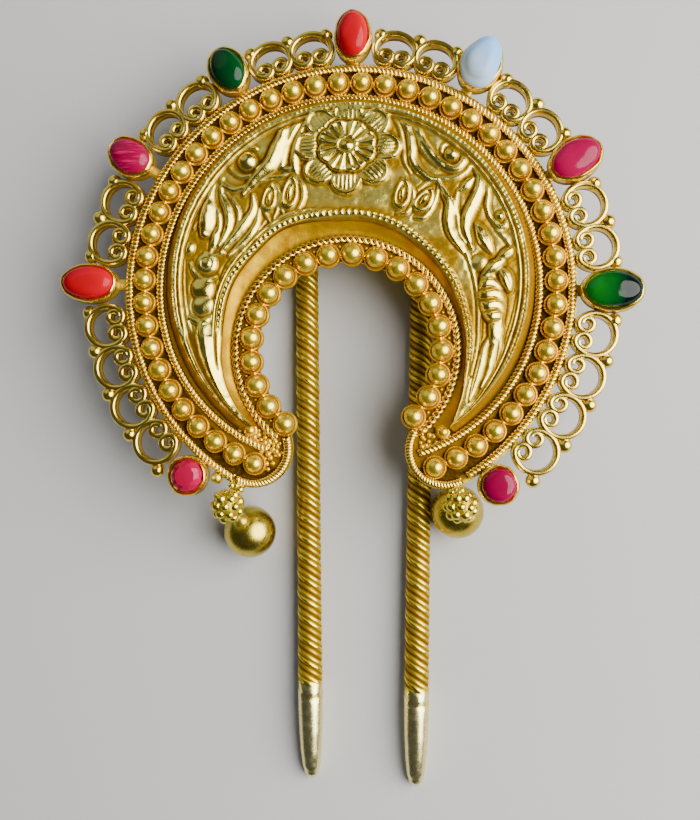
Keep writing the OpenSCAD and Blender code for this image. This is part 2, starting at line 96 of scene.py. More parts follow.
def make_piece(name, form, finish, stands_for=(), crease=50.0, flat=False):
    """Turns a form into an object that rides on the part and stands for some of its nodes."""
    points = np.concatenate(form.points)
    points = (points + [0.0, HEAD_Y, 0.0]) * MM
    sizes = np.concatenate([np.full(len(f), f.shape[1]) for f in form.faces])
    corners = np.concatenate([f.ravel() for f in form.faces])
    mesh = bpy.data.meshes.new(name)
    mesh.vertices.add(len(points))
    mesh.vertices.foreach_set("co", points.ravel())
    mesh.loops.add(len(corners))
    mesh.loops.foreach_set("vertex_index", corners)
    mesh.polygons.add(len(sizes))
    mesh.polygons.foreach_set("loop_start", np.concatenate([[0], np.cumsum(sizes)[:-1]]))
    mesh.update(calc_edges=True)
    mesh.validate()
    mesh.polygons.foreach_set("use_smooth", np.full(len(mesh.polygons), not flat))
    if not flat and crease:
        mesh.set_sharp_from_angle(angle=math.radians(crease))
    depth = mesh.attributes.new("hollow", "FLOAT", "POINT")
    depth.data.foreach_set("value", np.concatenate(form.hollow).astype(np.float32))
    mesh.materials.append(finish)
    piece = bpy.data.objects.new(name, mesh)
    bpy.context.scene.collection.objects.link(piece)
    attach(piece, "root")
    if stands_for:
        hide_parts(*stands_for)


def grid_faces(rows, columns, rows_close=False, columns_close=False):
    """Four-sided faces between rows of points."""
    i = np.arange(rows if rows_close else rows - 1)[:, None]
    j = np.arange(columns if columns_close else columns - 1)[None]
    up, along = (i + 1) % rows, (j + 1) % columns
    corners = [i * columns + j, up * columns + j, up * columns + along, i * columns + along]
    return np.stack(corners, -1).reshape(-1, 4)


def end_faces(rows, columns):
    """One face over the first row of points and one over the last."""
    return [np.arange(columns)[None], (rows - 1) * columns + np.arange(columns)[::-1][None]]


def circle(radius, sides, squash=1.0):
    a = np.arange(sides) * 2 * np.pi / sides
    return np.stack([radius * np.cos(a), radius * squash * np.sin(a)], -1)


def sweep(path, section, closed=False, up=(0.0, 0.0, 1.0)):
    """Carries a section along a path.

    A section is points of (side, lift): one set, or one for each point of the path.
    """
    path = np.asarray(path, float)
    ahead = np.roll(path, -1, 0) - np.roll(path, 1, 0)
    if not closed:
        ahead[0], ahead[-1] = path[1] - path[0], path[-1] - path[-2]
    ahead /= np.linalg.norm(ahead, axis=1, keepdims=True)
    side = np.cross(ahead, np.broadcast_to(np.asarray(up, float), ahead.shape))
    side /= np.linalg.norm(side, axis=1, keepdims=True)
    lift = np.cross(side, ahead)
    section = np.asarray(section, float)
    section = np.broadcast_to(section, (len(path),) + section.shape[-2:])
    points = path[:, None] + side[:, None] * section[..., :1] + lift[:, None] * section[..., 1:]
    k = section.shape[1]
    faces = [grid_faces(len(path), k, closed, True)]
    if not closed:
        faces += end_faces(len(path), k)
    return points.reshape(-1, 3), faces


def turned(profile, sides, centre=(0.0, 0.0, 0.0)):
    """Turns a profile of (radius, height), given from its top down the outside, round an upright axis."""
    profile = np.asarray(profile, float)
    a = np.arange(sides) * 2 * np.pi / sides
    poles = [profile[0, 0] < 1e-6, profile[-1, 0] < 1e-6]
    rows = profile[int(poles[0]):len(profile) - int(poles[1])]
    heights = np.broadcast_to(rows[:, 1:], (len(rows), sides))
    points = np.stack([rows[:, :1] * np.cos(a), rows[:, :1] * np.sin(a), heights], -1).reshape(-1, 3)
    faces = [grid_faces(len(rows), sides, False, True)]
    j = np.arange(sides)
    last = (len(rows) - 1) * sides
    if poles[0]:
        points = np.vstack([points, [[0, 0, profile[0, 1]]]])
        faces.append(np.stack([np.full(sides, len(points) - 1), j, (j + 1) % sides], -1))
    else:
        faces.append(j[None])
    if poles[1]:
        points = np.vstack([points, [[0, 0, profile[-1, 1]]]])
        faces.append(np.stack([np.full(sides, len(points) - 1), last + (j + 1) % sides, last + j], -1))
    else:
        faces.append((last + j[::-1])[None])
    return points + np.asarray(centre, float), faces


def ball(radius, sides=16, rows=10, centre=(0.0, 0.0, 0.0), squash=1.0):
    a = np.linspace(0, np.pi, rows + 1)
    profile = np.stack([radius * np.sin(a), radius * squash * np.cos(a)], -1)
    profile[0, 0] = profile[-1, 0] = 0.0
    return turned(profile, sides, centre)


def ring(radius, wire, sides, wire_sides, centre):
    a = np.arange(sides) * 2 * np.pi / sides
    path = np.stack([radius * np.cos(a), radius * np.sin(a), np.zeros(sides)], -1) + np.asarray(centre, float)
    return sweep(path, circle(wire, wire_sides), closed=True)


def copies(shape, places, angles=None, sizes=None):
    """The same shape at many places, each turned about the upright and scaled."""
    points, faces = shape
    places = np.asarray(places, float).reshape(-1, 3)
    n = len(places)
    a = np.zeros(n) if angles is None else np.broadcast_to(np.asarray(angles, float), (n,))
    s = np.ones(n) if sizes is None else np.broadcast_to(np.asarray(sizes, float), (n,))
    c, d = (np.cos(a) * s)[:, None], (np.sin(a) * s)[:, None]
    x, y, z = points[None, :, 0], points[None, :, 1], points[None, :, 2]
    moved = np.stack([x * c - y * d, x * d + y * c, z * s[:, None]], -1) + places[:, None]
    step = (np.arange(n) * len(points))[:, None, None]
    return moved.reshape(-1, 3), [(f[None] + step).reshape(-1, f.shape[1]) for f in faces]


def polar(radius, degrees, centre=(0.0, 0.0)):
    a = np.radians(degrees)
    return np.stack([centre[0] + radius * np.cos(a), centre[1] + radius * np.sin(a)], -1)


def flat_line(line, z):
    line = np.asarray(line, float)
    return np.column_stack([line, np.full(len(line), z)])


def even_line(line, n):
    """The same line with n points at even distances."""
    line = np.asarray(line, float)
    step = np.r_[0, np.cumsum(np.linalg.norm(np.diff(line, axis=0), axis=1))]
    s = np.linspace(0, step[-1], n)
    return np.stack([np.interp(s, step, line[:, k]) for k in range(line.shape[1])], -1), s


def smooth_line(points, per=8):
    """A smooth line through a few points."""
    p = np.asarray(points, float)
    wide = np.vstack([2 * p[0] - p[1], p, 2 * p[-1] - p[-2]])
    t = (np.arange(per) / per)[:, None]
    out = []
    for a, b, c, d in zip(wide[:-3], wide[1:-2], wide[2:-1], wide[3:]):
        second, third = 2 * a - 5 * b + 4 * c - d, 3 * b - a - 3 * c + d
        out.append(0.5 * (2 * b + (c - a) * t + second * t**2 + third * t**3))
    return np.vstack(out + [p[-1:]])


# Finishes

class Nodes:
    """A short way to lay out a material's nodes."""

    def __init__(self, name):
        self.material = bpy.data.materials.new(name)
        self.material.use_nodes = True
        self.tree = self.material.node_tree
        self.shader = self.tree.nodes["Principled BSDF"]

    def node(self, kind, **settings):
        n = self.tree.nodes.new(kind)
        for key, value in settings.items():
            setattr(n, key, value)
        return n

    def join(self, source, target):
        self.tree.links.new(source, target)

    def place(self, scale):
        """The object's own coordinates, in millimetres times scale."""
        where = self.node("ShaderNodeTexCoord")
        size = self.node("ShaderNodeVectorMath", operation="SCALE")
        size.inputs["Scale"].default_value = 1000 * scale
        self.join(where.outputs["Object"], size.inputs[0])
        return size.outputs[0]

    def noise(self, scale, detail=3.0, rough=0.5, place=None):
        n = self.node("ShaderNodeTexNoise")
        n.inputs["Scale"].default_value = 1.0
        n.inputs["Detail"].default_value = detail
        n.inputs["Roughness"].default_value = rough
        self.join(place or self.place(scale), n.inputs["Vector"])
        return n.outputs["Fac"]

    def span(self, value, low, high, to_low=0.0, to_high=1.0):
        n = self.node("ShaderNodeMapRange")
        n.inputs["From Min"].default_value, n.inputs["From Max"].default_value = low, high
        n.inputs["To Min"].default_value, n.inputs["To Max"].default_value = to_low, to_high
        self.join(value, n.inputs["Value"])
        return n.outputs[0]

    def maths(self, operation, a, b):
        n = self.node("ShaderNodeMath", operation=operation)
        for value, socket in ((a, n.inputs[0]), (b, n.inputs[1])):
            if isinstance(value, (int, float)):
                socket.default_value = value
            else:
                self.join(value, socket)
        return n.outputs[0]

    def blend(self, share, a, b):
        n = self.node("ShaderNodeMix", data_type="RGBA")
        self.join(share, n.inputs[0])
        for value, socket in ((a, n.inputs[6]), (b, n.inputs[7])):
            if isinstance(value, bpy.types.NodeSocket):
                self.join(value, socket)
            else:
                socket.default_value = (*value[:3], 1.0)
        return n.outputs[2]

    def vector(self, operation, value, constant):
        """Vector maths between a value and a constant."""
        n = self.node("ShaderNodeVectorMath", operation=operation)
        self.join(value, n.inputs[0])
        n.inputs[1].default_value = constant
        return n.outputs["Value" if operation == "DOT_PRODUCT" else "Vector"]

    def part(self, value, axis):
        """One of the three parts of a vector."""
        n = self.node("ShaderNodeSeparateXYZ")
        self.join(value, n.inputs[0])
        return n.outputs[axis]

    def bump(self, height, strength, distance):
        n = self.node("ShaderNodeBump")
        n.inputs["Strength"].default_value = strength
        n.inputs["Distance"].default_value = distance * MM
        self.join(height, n.inputs["Height"])
        self.join(n.outputs[0], self.shader.inputs["Normal"])


# What is left of each channel in the gold's richer clouds and in thin patina with painted shade, and
# of the tone in thick patina with painted shade
RICHER = (0.93, 0.82, 0.62)
THIN_PATINA_AND_SHADE = (1.0, 1.15, 0.03)
THICK_PATINA_AND_SHADE = 0.2
# The plate's channel for the outer beads, where its painted shade is darkest: its inner and outer edge,
# from the head's centre, and its lower end
CHANNEL_INNER = (19.2, 19.5)
CHANNEL_OUTER = (22.1, 21.8)
CHANNEL_END = (-19.8, -19.2)
# Where the painted shade on the plate's deck fades out towards its outer edge, from the head's centre
PLATE_EDGE = (22.6, 22.2)


def toned(tone, shares):
    """A tone with each of its channels made stronger or weaker."""
    return tuple(c * k for c, k in zip(tone, shares))


def shaded(tone, share):
    """A tone with all of its channels made stronger or weaker alike."""
    return tuple(c * share for c in tone)


def gold_finish(name, tone, deep, polish, worn=0.06, low=None, grain=0.03, hammer=0.0, grime=None,
                metal=1.0, mottle=1.0, wear=(0.5, 0.5, 0.14)):
    """Gilt metal with clouds of a richer tone, a painted highlight on its crests, and patina with
    painted shade in its hollows.

    Painted shade in the patina's tones fills what lies below the first height of low, and ends at the
    second. worn is how much the polish varies, grain how deep the cast surface is and hammer how strong
    its larger dents are. grime is a function that says where painted shade lies, mottle makes the
    clouds stronger, and wear says how pale the painted highlight on the crests is.
    """
    m = Nodes(name)
    cloud = m.noise(0.5, 3.0)
    colour = m.blend(m.span(cloud, 0.38, 0.66), tone, toned(tone, [k**mottle for k in RICHER]))
    hollow = m.node("ShaderNodeAttribute", attribute_name="hollow").outputs["Fac"]
    # Below 0 the hollow value paints a highlight: the crest is blended towards a paler tone
    pale = tuple(c + (1 - c) * k for c, k in zip(tone, wear))
    colour = m.blend(m.span(hollow, -0.1, -1.0), colour, pale)
    # Above 0 the hollow value gives patina and painted shade, and low and grime add painted shade, all in the
    # patina's tones
    depth = m.maths("MAXIMUM", hollow, 0.0)
    if low:
        depth = m.maths("MAXIMUM", depth, m.span(m.part(m.place(1.0), 2), low[1], low[0]))
    if grime:
        depth = m.maths("MAXIMUM", depth, grime(m))
    speck = m.noise(3.2, 4.0, 0.65)
    depth = m.maths("MULTIPLY", depth, m.span(speck, 0.25, 0.6, 0.75, 1.0))
    colour = m.blend(m.span(depth, 0.1, 0.42), colour, toned(deep, THIN_PATINA_AND_SHADE))
    colour = m.blend(m.span(depth, 0.45, 1.0), colour, shaded(deep, THICK_PATINA_AND_SHADE))
    m.join(colour, m.shader.inputs["Base Color"])
    dull = m.span(m.noise(1.7, 4.0, 0.6), 0.3, 0.75, polish - worn * 0.5, polish + worn)
    dull = m.maths("ADD", dull, m.maths("MULTIPLY", depth, 0.4))
    m.join(dull, m.shader.inputs["Roughness"])
    m.join(m.span(depth, 0.05, 0.5, metal, metal * 0.55), m.shader.inputs["Metallic"])
    m.shader.inputs["Specular IOR Level"].default_value = 0.0
    surface = m.noise(7.0, 4.0, 0.6)
    if hammer:
        surface = m.maths("ADD", surface, m.maths("MULTIPLY", m.noise(0.9, 2.0), hammer))
    m.bump(surface, 0.5, grain)
    return m.material


def channel_grime(m):
    """Where painted shade lies on the plate: on its deck, most of all in the channel that the outer beads lie
    in.
    """
    near = m.vector("SUBTRACT", m.place(1.0), (0.0, HEAD_Y, DECK))
    away = m.node("ShaderNodeVectorMath", operation="LENGTH")
    m.join(m.vector("MULTIPLY", near, (1.0, 1.0, 0.0)), away.inputs[0])
    out = away.outputs["Value"]
    channel = m.maths("MULTIPLY", m.span(out, *CHANNEL_INNER), m.span(out, *CHANNEL_OUTER))
    channel = m.maths("MULTIPLY", channel, m.span(m.part(near, 1), *CHANNEL_END))
    deck = m.span(m.part(near, 2), -0.15, -0.05)
    inside = m.span(out, *PLATE_EDGE, 0.0, 0.6)
    return m.maths("MULTIPLY", m.maths("MAXIMUM", inside, channel), deck)


def stone_finish(name, bright, shade, light, polish=0.06, clear=0.0, milky=False, streaks=False):
    """A polished stone that is brighter on the side where light leaves it, with faint clouds inside.

    light holds the place where the two tones meet, the way to the bright side, and how far the tones
    take to change.
    """
    m = Nodes(name)
    meet, way, blur = light
    inside = m.vector("SUBTRACT", m.place(1.0), meet)
    along = m.vector("DOT_PRODUCT", inside, tuple(Vector(way).normalized()))
    along = m.maths("ADD", along, m.span(m.noise(0.9, 3.0), 0.0, 1.0, -0.6, 0.6))
    colour = m.blend(m.span(along, -blur, blur), shade, bright)
    if streaks:
        turn = m.node("ShaderNodeMapping")
        turn.inputs["Rotation"].default_value = (0.0, 0.0, math.radians(28))
        turn.inputs["Scale"].default_value = (0.5, 6.0, 0.5)
        m.join(m.place(1.0), turn.inputs["Vector"])
        streak = m.noise(1.0, 3.0, 0.6, turn.outputs[0])
        pale = tuple(min(1.0, c * 2.0 + 0.01) for c in bright)
        colour = m.blend(m.span(streak, 0.52, 0.72), colour, pale)
    m.join(colour, m.shader.inputs["Base Color"])
    m.join(m.span(m.noise(2.5), 0.3, 0.7, polish, polish + 0.06), m.shader.inputs["Roughness"])
    m.shader.inputs["IOR"].default_value = 1.5
    m.shader.inputs["Specular IOR Level"].default_value = 0.12
    m.shader.inputs["Coat Weight"].default_value = 0.05
    m.shader.inputs["Coat Roughness"].default_value = 0.04
    if clear:
        m.shader.inputs["Transmission Weight"].default_value = clear
    if milky:
        m.shader.inputs["Subsurface Weight"].default_value = 0.3
        m.shader.inputs["Subsurface Scale"].default_value = 0.8 * MM
    m.bump(m.noise(1.3, 2.0), 0.25, 0.05)
    return m.material


# Plaque relief

# Raised lines: name, points, widths at the start, middle and end, height, 1 for a flute along the line,
# and ribs, where up to MOST_RIBS are bands across a round form and more make a row of beads
MOST_RIBS = 6
RELIEF = [
    ("left plume", [(-6.4, 16.7), (-6.7, 15.1), (-7.2, 13.7), (-7.8, 12.3), (-8.9, 11.2), (-9.9, 10.0),
                    (-10.6, 9.0)], (0.3, 0.62, 0.15), 0.75, 0, 0),
    ("left plume, amber edge", [(-5.9, 16.0), (-6.5, 14.2), (-7.1, 12.6), (-8.1, 11.3), (-9.0, 10.3)],
     (0.1, 0.16, 0.1), 0.42, 0, 0),
    ("left broad plume, left", [(-4.6, 17.1), (-5.3, 16.2), (-6.0, 14.7), (-6.5, 13.3), (-6.8, 11.8)],
     (0.25, 0.34, 0.2), 0.6, 0, 0),
    ("left broad plume, right", [(-4.0, 17.1), (-4.6, 15.7), (-5.3, 14.2), (-5.5, 12.8), (-5.4, 11.7)],
     (0.25, 0.36, 0.3), 0.62, 0, 0),
    ("left broad plume, foot", [(-6.8, 11.8), (-6.0, 11.6), (-5.2, 11.8)], (0.2, 0.3, 0.2), 0.5, 0, 0),
    ("left volute", [(-9.4, 13.8), (-10.5, 14.0), (-11.7, 13.4), (-12.1, 12.4), (-11.8, 11.5), (-10.7, 10.9),
                     (-9.6, 11.2), (-8.8, 12.0)], (0.14, 0.2, 0.14), 0.55, 0, 0),
    ("left volute, outer", [(-12.9, 11.1), (-12.6, 10.1), (-11.5, 9.6), (-10.4, 9.9), (-10.0, 10.6)],
     (0.15, 0.26, 0.15), 0.48, 0, 0),
    ("left ribbon, dark", [(-13.4, 11.1), (-13.9, 9.6), (-13.8, 8.3), (-13.1, 7.1), (-12.9, 5.8),
                            (-13.2, 4.8)], (0.14, 0.24, 0.12), 0.5, 0, 0),
    ("left ribbon, bright", [(-12.9, 9.8), (-12.6, 8.6), (-12.1, 7.6), (-11.9, 6.3), (-12.2, 5.1),
                             (-12.9, 3.9)], (0.15, 0.36, 0.15), 0.66, 0, 0),
    ("left ribbon, inner", [(-12.4, 9.3), (-11.6, 8.4), (-11.0, 7.3), (-11.0, 6.1), (-11.5, 5.1),
                             (-12.3, 4.1)], (0.1, 0.2, 0.1), 0.55, 0, 0),
    ("left drop", [(-14.0, 8.9), (-14.1, 7.3), (-14.2, 6.4), (-14.4, 5.2)], (0.1, 0.62, 0.42), 0.72, 0, 0),
    ("left small leaf", [(-15.3, 7.4), (-15.4, 6.6), (-15.6, 5.6)], (0.1, 0.26, 0.1), 0.42, 0, 0),
    ("left lower leaf", [(-13.2, 5.7), (-13.3, 4.6), (-13.7, 3.4)], (0.1, 0.34, 0.15), 0.5, 0, 0),
    ("left blade", [(-9.6, 9.1), (-9.5, 7.6), (-10.1, 6.5), (-11.1, 5.1), (-12.7, 3.2)],
     (0.15, 0.4, 0.12), 0.7, 0, 0),
    ("left blade, amber", [(-8.9, 7.7), (-9.2, 6.1), (-9.9, 4.9), (-10.9, 3.9), (-11.9, 2.9)],
     (0.12, 0.34, 0.12), 0.5, 0, 0),
    ("left inner line", [(-8.3, 6.5), (-9.4, 4.9), (-10.6, 3.6), (-12.1, 1.8), (-12.8, -0.2)],
     (0.1, 0.15, 0.1), 0.36, 0, 12),
    ("left bud's tail", [(-8.6, 8.3), (-8.3, 7.3), (-7.8, 6.4)], (0.1, 0.2, 0.08), 0.42, 0, 0),
    ("middle left bud's tail", [(-6.8, 9.2), (-6.8, 8.1), (-6.4, 7.1)], (0.1, 0.18, 0.08), 0.42, 0, 0),
    ("middle left bud's sheath", [(-5.2, 11.0), (-4.6, 10.0), (-4.5, 8.8), (-5.0, 7.7), (-5.8, 6.9)],
     (0.1, 0.2, 0.1), 0.56, 0, 0),
    ("left bud's sheath", [(-7.3, 10.2), (-6.9, 9.0), (-7.1, 7.6), (-7.5, 6.6)],
     (0.08, 0.16, 0.08), 0.5, 0, 0),
    ("over the left buds", [(-8.9, 10.3), (-7.9, 10.8), (-6.7, 11.0), (-5.9, 11.4), (-5.2, 11.3)],
     (0.08, 0.16, 0.1), 0.48, 0, 0),
    ("left arc", [(-15.8, 2.2), (-15.3, 1.1), (-14.3, 0.4), (-13.2, 0.8)], (0.12, 0.2, 0.12), 0.46, 0, 0),
    ("left star", [(-14.4, 3.3), (-13.4, 2.9), (-12.3, 3.2)], (0.1, 0.18, 0.08), 0.4, 0, 0),
    ("left collar", [(-15.6, -3.4), (-14.5, -3.8), (-13.3, -3.2)], (0.2, 0.3, 0.2), 0.5, 0, 0),
    ("left horn leaf", [(-14.2, -4.1), (-14.0, -6.1), (-13.1, -8.1), (-11.8, -10.4), (-10.4, -12.3),
                        (-9.4, -13.9)], (0.5, 0.75, 0.2), 0.62, 0, 0),
    ("left horn line", [(-13.0, -4.4), (-12.7, -6.3), (-12.1, -8.2), (-11.1, -10.5)],
     (0.08, 0.14, 0.08), 0.4, 0, 0),
    ("left outer line", [(-16.5, 2.5), (-16.4, -1.1), (-15.7, -4.4), (-14.7, -6.9), (-13.2, -9.4),
                         (-11.2, -11.8)], (0.08, 0.15, 0.08), 0.36, 0, 9),
    ("right of the rosette", [(4.3, 17.0), (5.0, 15.7), (5.4, 14.0), (5.5, 12.5), (6.1, 11.4)],
     (0.1, 0.18, 0.1), 0.42, 0, 0),
    ("right plume", [(4.6, 17.3), (5.5, 16.2), (6.0, 15.0), (6.2, 13.8), (6.3, 12.7), (6.9, 11.7),
                     (7.9, 10.9), (8.6, 10.7)], (0.15, 0.34, 0.22), 0.66, 0, 0),
    ("right plume, inner", [(5.6, 16.8), (6.5, 15.7), (6.9, 14.7), (7.2, 13.7), (8.0, 12.7), (8.8, 11.9)],
     (0.1, 0.2, 0.1), 0.42, 0, 0),
    ("right volute", [(6.5, 16.3), (7.0, 15.3), (7.7, 14.0), (8.6, 12.8), (9.6, 12.0), (10.4, 11.8),
                      (11.2, 12.3), (11.4, 13.2), (10.9, 14.0), (10.0, 14.4), (9.3, 14.1), (9.1, 13.4)],
     (0.15, 0.32, 0.1), 0.7, 0, 0),
    ("right volute, upper", [(6.7, 16.2), (7.8, 15.6), (9.1, 15.1), (10.3, 14.6)],
     (0.08, 0.18, 0.08), 0.45, 0, 0),
    ("right lower arc", [(8.5, 10.9), (9.7, 10.8), (10.7, 11.0), (11.6, 11.5), (12.0, 12.2)],
     (0.12, 0.24, 0.12), 0.5, 0, 0),
    ("right short leaf", [(11.0, 9.6), (11.6, 10.1), (12.3, 10.9)], (0.12, 0.36, 0.12), 0.56, 0, 0),
    ("inner right bud's sheath", [(5.8, 10.7), (6.4, 9.6), (6.4, 8.4), (5.8, 7.4), (4.8, 7.3)],
     (0.08, 0.18, 0.1), 0.5, 0, 0),
    ("right bud's sheath", [(8.9, 10.1), (8.7, 8.9), (8.2, 7.7), (7.5, 6.9), (6.6, 6.9)],
     (0.1, 0.2, 0.1), 0.55, 0, 0),
    ("over the right buds", [(6.8, 9.6), (7.7, 10.3), (8.6, 10.8)], (0.08, 0.15, 0.08), 0.42, 0, 0),
    ("right blade", [(8.8, 10.6), (9.5, 9.4), (10.1, 8.2), (10.0, 6.9), (10.2, 5.6), (10.8, 4.5),
                     (11.5, 3.5)], (0.12, 0.42, 0.12), 0.7, 0, 0),
    ("right blade, dark", [(10.8, 9.7), (10.6, 8.2), (10.9, 6.6), (11.1, 5.3), (11.7, 4.4)],
     (0.1, 0.22, 0.08), 0.42, 0, 0),
    ("right ribbon", [(12.2, 12.2), (12.9, 11.1), (12.9, 9.7), (12.4, 8.4), (11.8, 7.1), (11.7, 5.8),
                      (12.0, 4.8), (12.3, 3.9)], (0.12, 0.46, 0.1), 0.72, 0, 0),
    ("right hook", [(12.9, 11.9), (13.6, 10.7), (13.8, 9.4), (13.7, 8.2), (14.0, 7.1), (14.7, 6.2),
                    (15.4, 6.1), (15.8, 6.9), (15.4, 7.5), (14.9, 7.2)], (0.1, 0.2, 0.18), 0.6, 0, 0),
    ("right strip", [(13.1, 12.3), (14.0, 11.0), (14.8, 9.6), (15.5, 8.2), (16.1, 6.6)],
     (0.08, 0.18, 0.08), 0.4, 0, 0),
    ("right leaf", [(12.6, 6.4), (13.1, 5.6), (13.6, 4.6), (14.2, 3.6)], (0.1, 0.46, 0.2), 0.62, 1, 0),
    ("right tiny leaf", [(14.6, 5.8), (15.4, 5.2), (16.1, 4.2)], (0.1, 0.24, 0.1), 0.36, 0, 0),
    ("bow, knot", [(13.7, 1.3), (14.4, 2.0), (15.2, 2.6)], (0.35, 0.52, 0.3), 0.8, 0, 0),
    ("bow, upper loop", [(14.9, 2.9), (15.7, 3.4), (16.5, 3.9)], (0.22, 0.44, 0.24), 0.75, 1, 0),
    ("bow, lower loop", [(15.1, 1.9), (15.7, 0.95), (16.0, -0.1)], (0.25, 0.5, 0.26), 0.75, 1, 0),
    ("sleeve", [(13.95, 1.0), (14.2, -0.5), (14.45, -2.1), (14.7, -3.3)], (0.6, 0.92, 0.55), 0.8, 0, 4),
    ("bell", [(14.6, -3.3), (14.8, -4.3), (14.6, -5.2)], (0.45, 0.6, 0.4), 0.6, 0, 0),
    ("right inner line", [(10.3, 6.6), (11.2, 4.6), (12.1, 2.6), (12.7, 0.6), (13.0, -1.4), (13.1, -3.6),
                          (13.0, -6.0), (12.5, -8.6)], (0.1, 0.17, 0.1), 0.36, 0, 0),
    ("right horn blade, first", [(14.2, -4.9), (13.81, -5.8), (13.4, -7.9), (12.9, -9.6), (12.4, -11.1)],
     (0.2, 0.34, 0.1), 0.62, 0, 0),
    ("right horn blade, second", [(14.9, -4.9), (14.56, -6.6), (14.2, -8.2), (13.5, -9.8)],
     (0.24, 0.32, 0.1), 0.62, 0, 0),
    ("right horn blade, third", [(15.3, -4.6), (15.2, -5.7), (15.05, -7.4), (14.6, -8.8)],
     (0.14, 0.24, 0.08), 0.55, 0, 0),
    ("right horn ridge", [(16.3, 5.1), (17.1, 2.9), (17.15, -0.1), (16.8, -2.5), (16.3, -4.5), (15.8, -7.0),
                          (15.0, -9.0), (14.1, -10.4), (13.2, -11.3), (12.1, -12.3)],
     (0.12, 0.32, 0.18), 0.66, 0, 11),
]
# Almond buds: outer end, inner end, half width
ALMONDS = [((-7.75, 10.1), (-8.1, 7.5), 0.62), ((-5.65, 10.9), (-6.0, 7.8), 0.7),
           ((5.55, 10.7), (5.2, 7.9), 0.68), ((8.2, 9.7), (6.9, 7.6), 0.68)]
# Round bosses: centre, radius, height, radius of an engraved ring
BOSSES = [((-10.3, 12.5), 1.05, 0.66, 0.0), ((10.1, 13.25), 0.8, 0.6, 0.0), ((-14.1, 2.1), 1.15, 0.42, 0.5),
          ((-16.1, 3.7), 0.8, 0.36, 0.0), ((13.1, 2.45), 0.9, 0.42, 0.0), ((14.93, 7.14), 0.5, 0.42, 0.0),
          ((-14.45, -0.45), 1.25, 0.4, 0.0), ((-14.35, -2.15), 1.15, 0.34, 0.0)]
# The rosette's centre, and the radius inside which nothing else of the relief is left
ROSETTE = (-0.3, 14.0)
ROSETTE_R = 4.7
# How much wider a raised line's foot is than its crest, and how far its crest lies to the left of its middle
STROKE_SPREAD = 1.5
STROKE_LEAN = 0.34
# Width of the groove that is chased round a raised form
CHASED = 0.16
# Height of the relief for which the heights above are given
RELIEF_H = 0.62


def along_line(points, line):
    """For each point its distance to a line, the share of it that points right, and how far along it lies."""
    a, step = line[:-1], np.diff(line, axis=0)
    long = np.linalg.norm(step, axis=1)
    rel = points[:, None] - a[None]
    share = np.clip((rel * step).sum(-1) / long**2, 0, 1)
    off = rel - share[..., None] * step
    far = np.linalg.norm(off, axis=-1)
    k = far.argmin(1)
    rows = np.arange(len(points))
    start = np.r_[0, np.cumsum(long)[:-1]]
    t = (start[k] + share[rows, k] * long[k]) / long.sum()
    return far[rows, k], off[rows, k, 0] / np.maximum(far[rows, k], 1e-6), t


def relief_line(points, row):
    """Height of one raised line of the relief, and the groove that is chased round it."""
    _, ends, (first, middle, last), high, flute, ribs = row
    far, right, t = along_line(points, smooth_line(ends, 6))
    wide = first * (1 - t) * (1 - 2 * t) + middle * 4 * t * (1 - t) + last * t * (2 * t - 1)
    wide = np.maximum(wide, min(first, last)) * STROKE_SPREAD
    lean = STROKE_LEAN * np.abs(right)
    across = np.clip(far / wide, 0, 1) * np.sign(right)
    u = np.abs(across + lean) / np.where(across > -lean, 1 + lean, 1 - lean)
    body = 1 - np.clip(u, 0, 1) ** 1.9
    if flute:
        body = body - 0.2 * np.exp(-(((across - 0.25) / 0.13) ** 2)) * np.clip(4 * t * (1 - t), 0, 1)
    if ribs > MOST_RIBS:
        body = body * (1 - 0.35 * (0.5 + 0.5 * np.cos(2 * np.pi * ribs * t)))
    elif ribs:
        curved = t - 0.1 * across**2 * (across > 0)
        body = body * (1 - 0.4 * np.cos(np.pi * ribs * curved) ** 8)
    body = np.where(far < wide, body, 0)
    groove = np.exp(-(((far - wide) / CHASED) ** 2)) * (far > wide)
    return high * body * np.clip(wide / 0.85, 0.42, 1.1), groove


def petal_shell(d, out):
    """One of the rosette's outer lobes: a ribbed shell with a raised rim on its outer side."""
    lobe_at, lobe_r, rib_step = 3.82, 1.42, 0.4
    e = d - lobe_at * out
    far = np.hypot(*e.T)
    n = far / lobe_r
    facing = e @ out / np.maximum(far, 0.01)
    rim = 0.52 * np.exp(-(((n - 0.9) / 0.15) ** 2)) * np.clip(0.75 + facing, 0, 1)
    across = e @ [-out[1], out[0]]
    fade = np.clip((0.85 - n * (0.5 + 0.5 * facing)) / 0.3, 0, 1)
    ribs = 0.1 * np.cos(2 * np.pi * across / rib_step) * fade
    return np.where(n < 1.0, np.maximum(rim, 0.26 * (1 - n**2) ** 0.6 + ribs), rim * (n < 1.12))


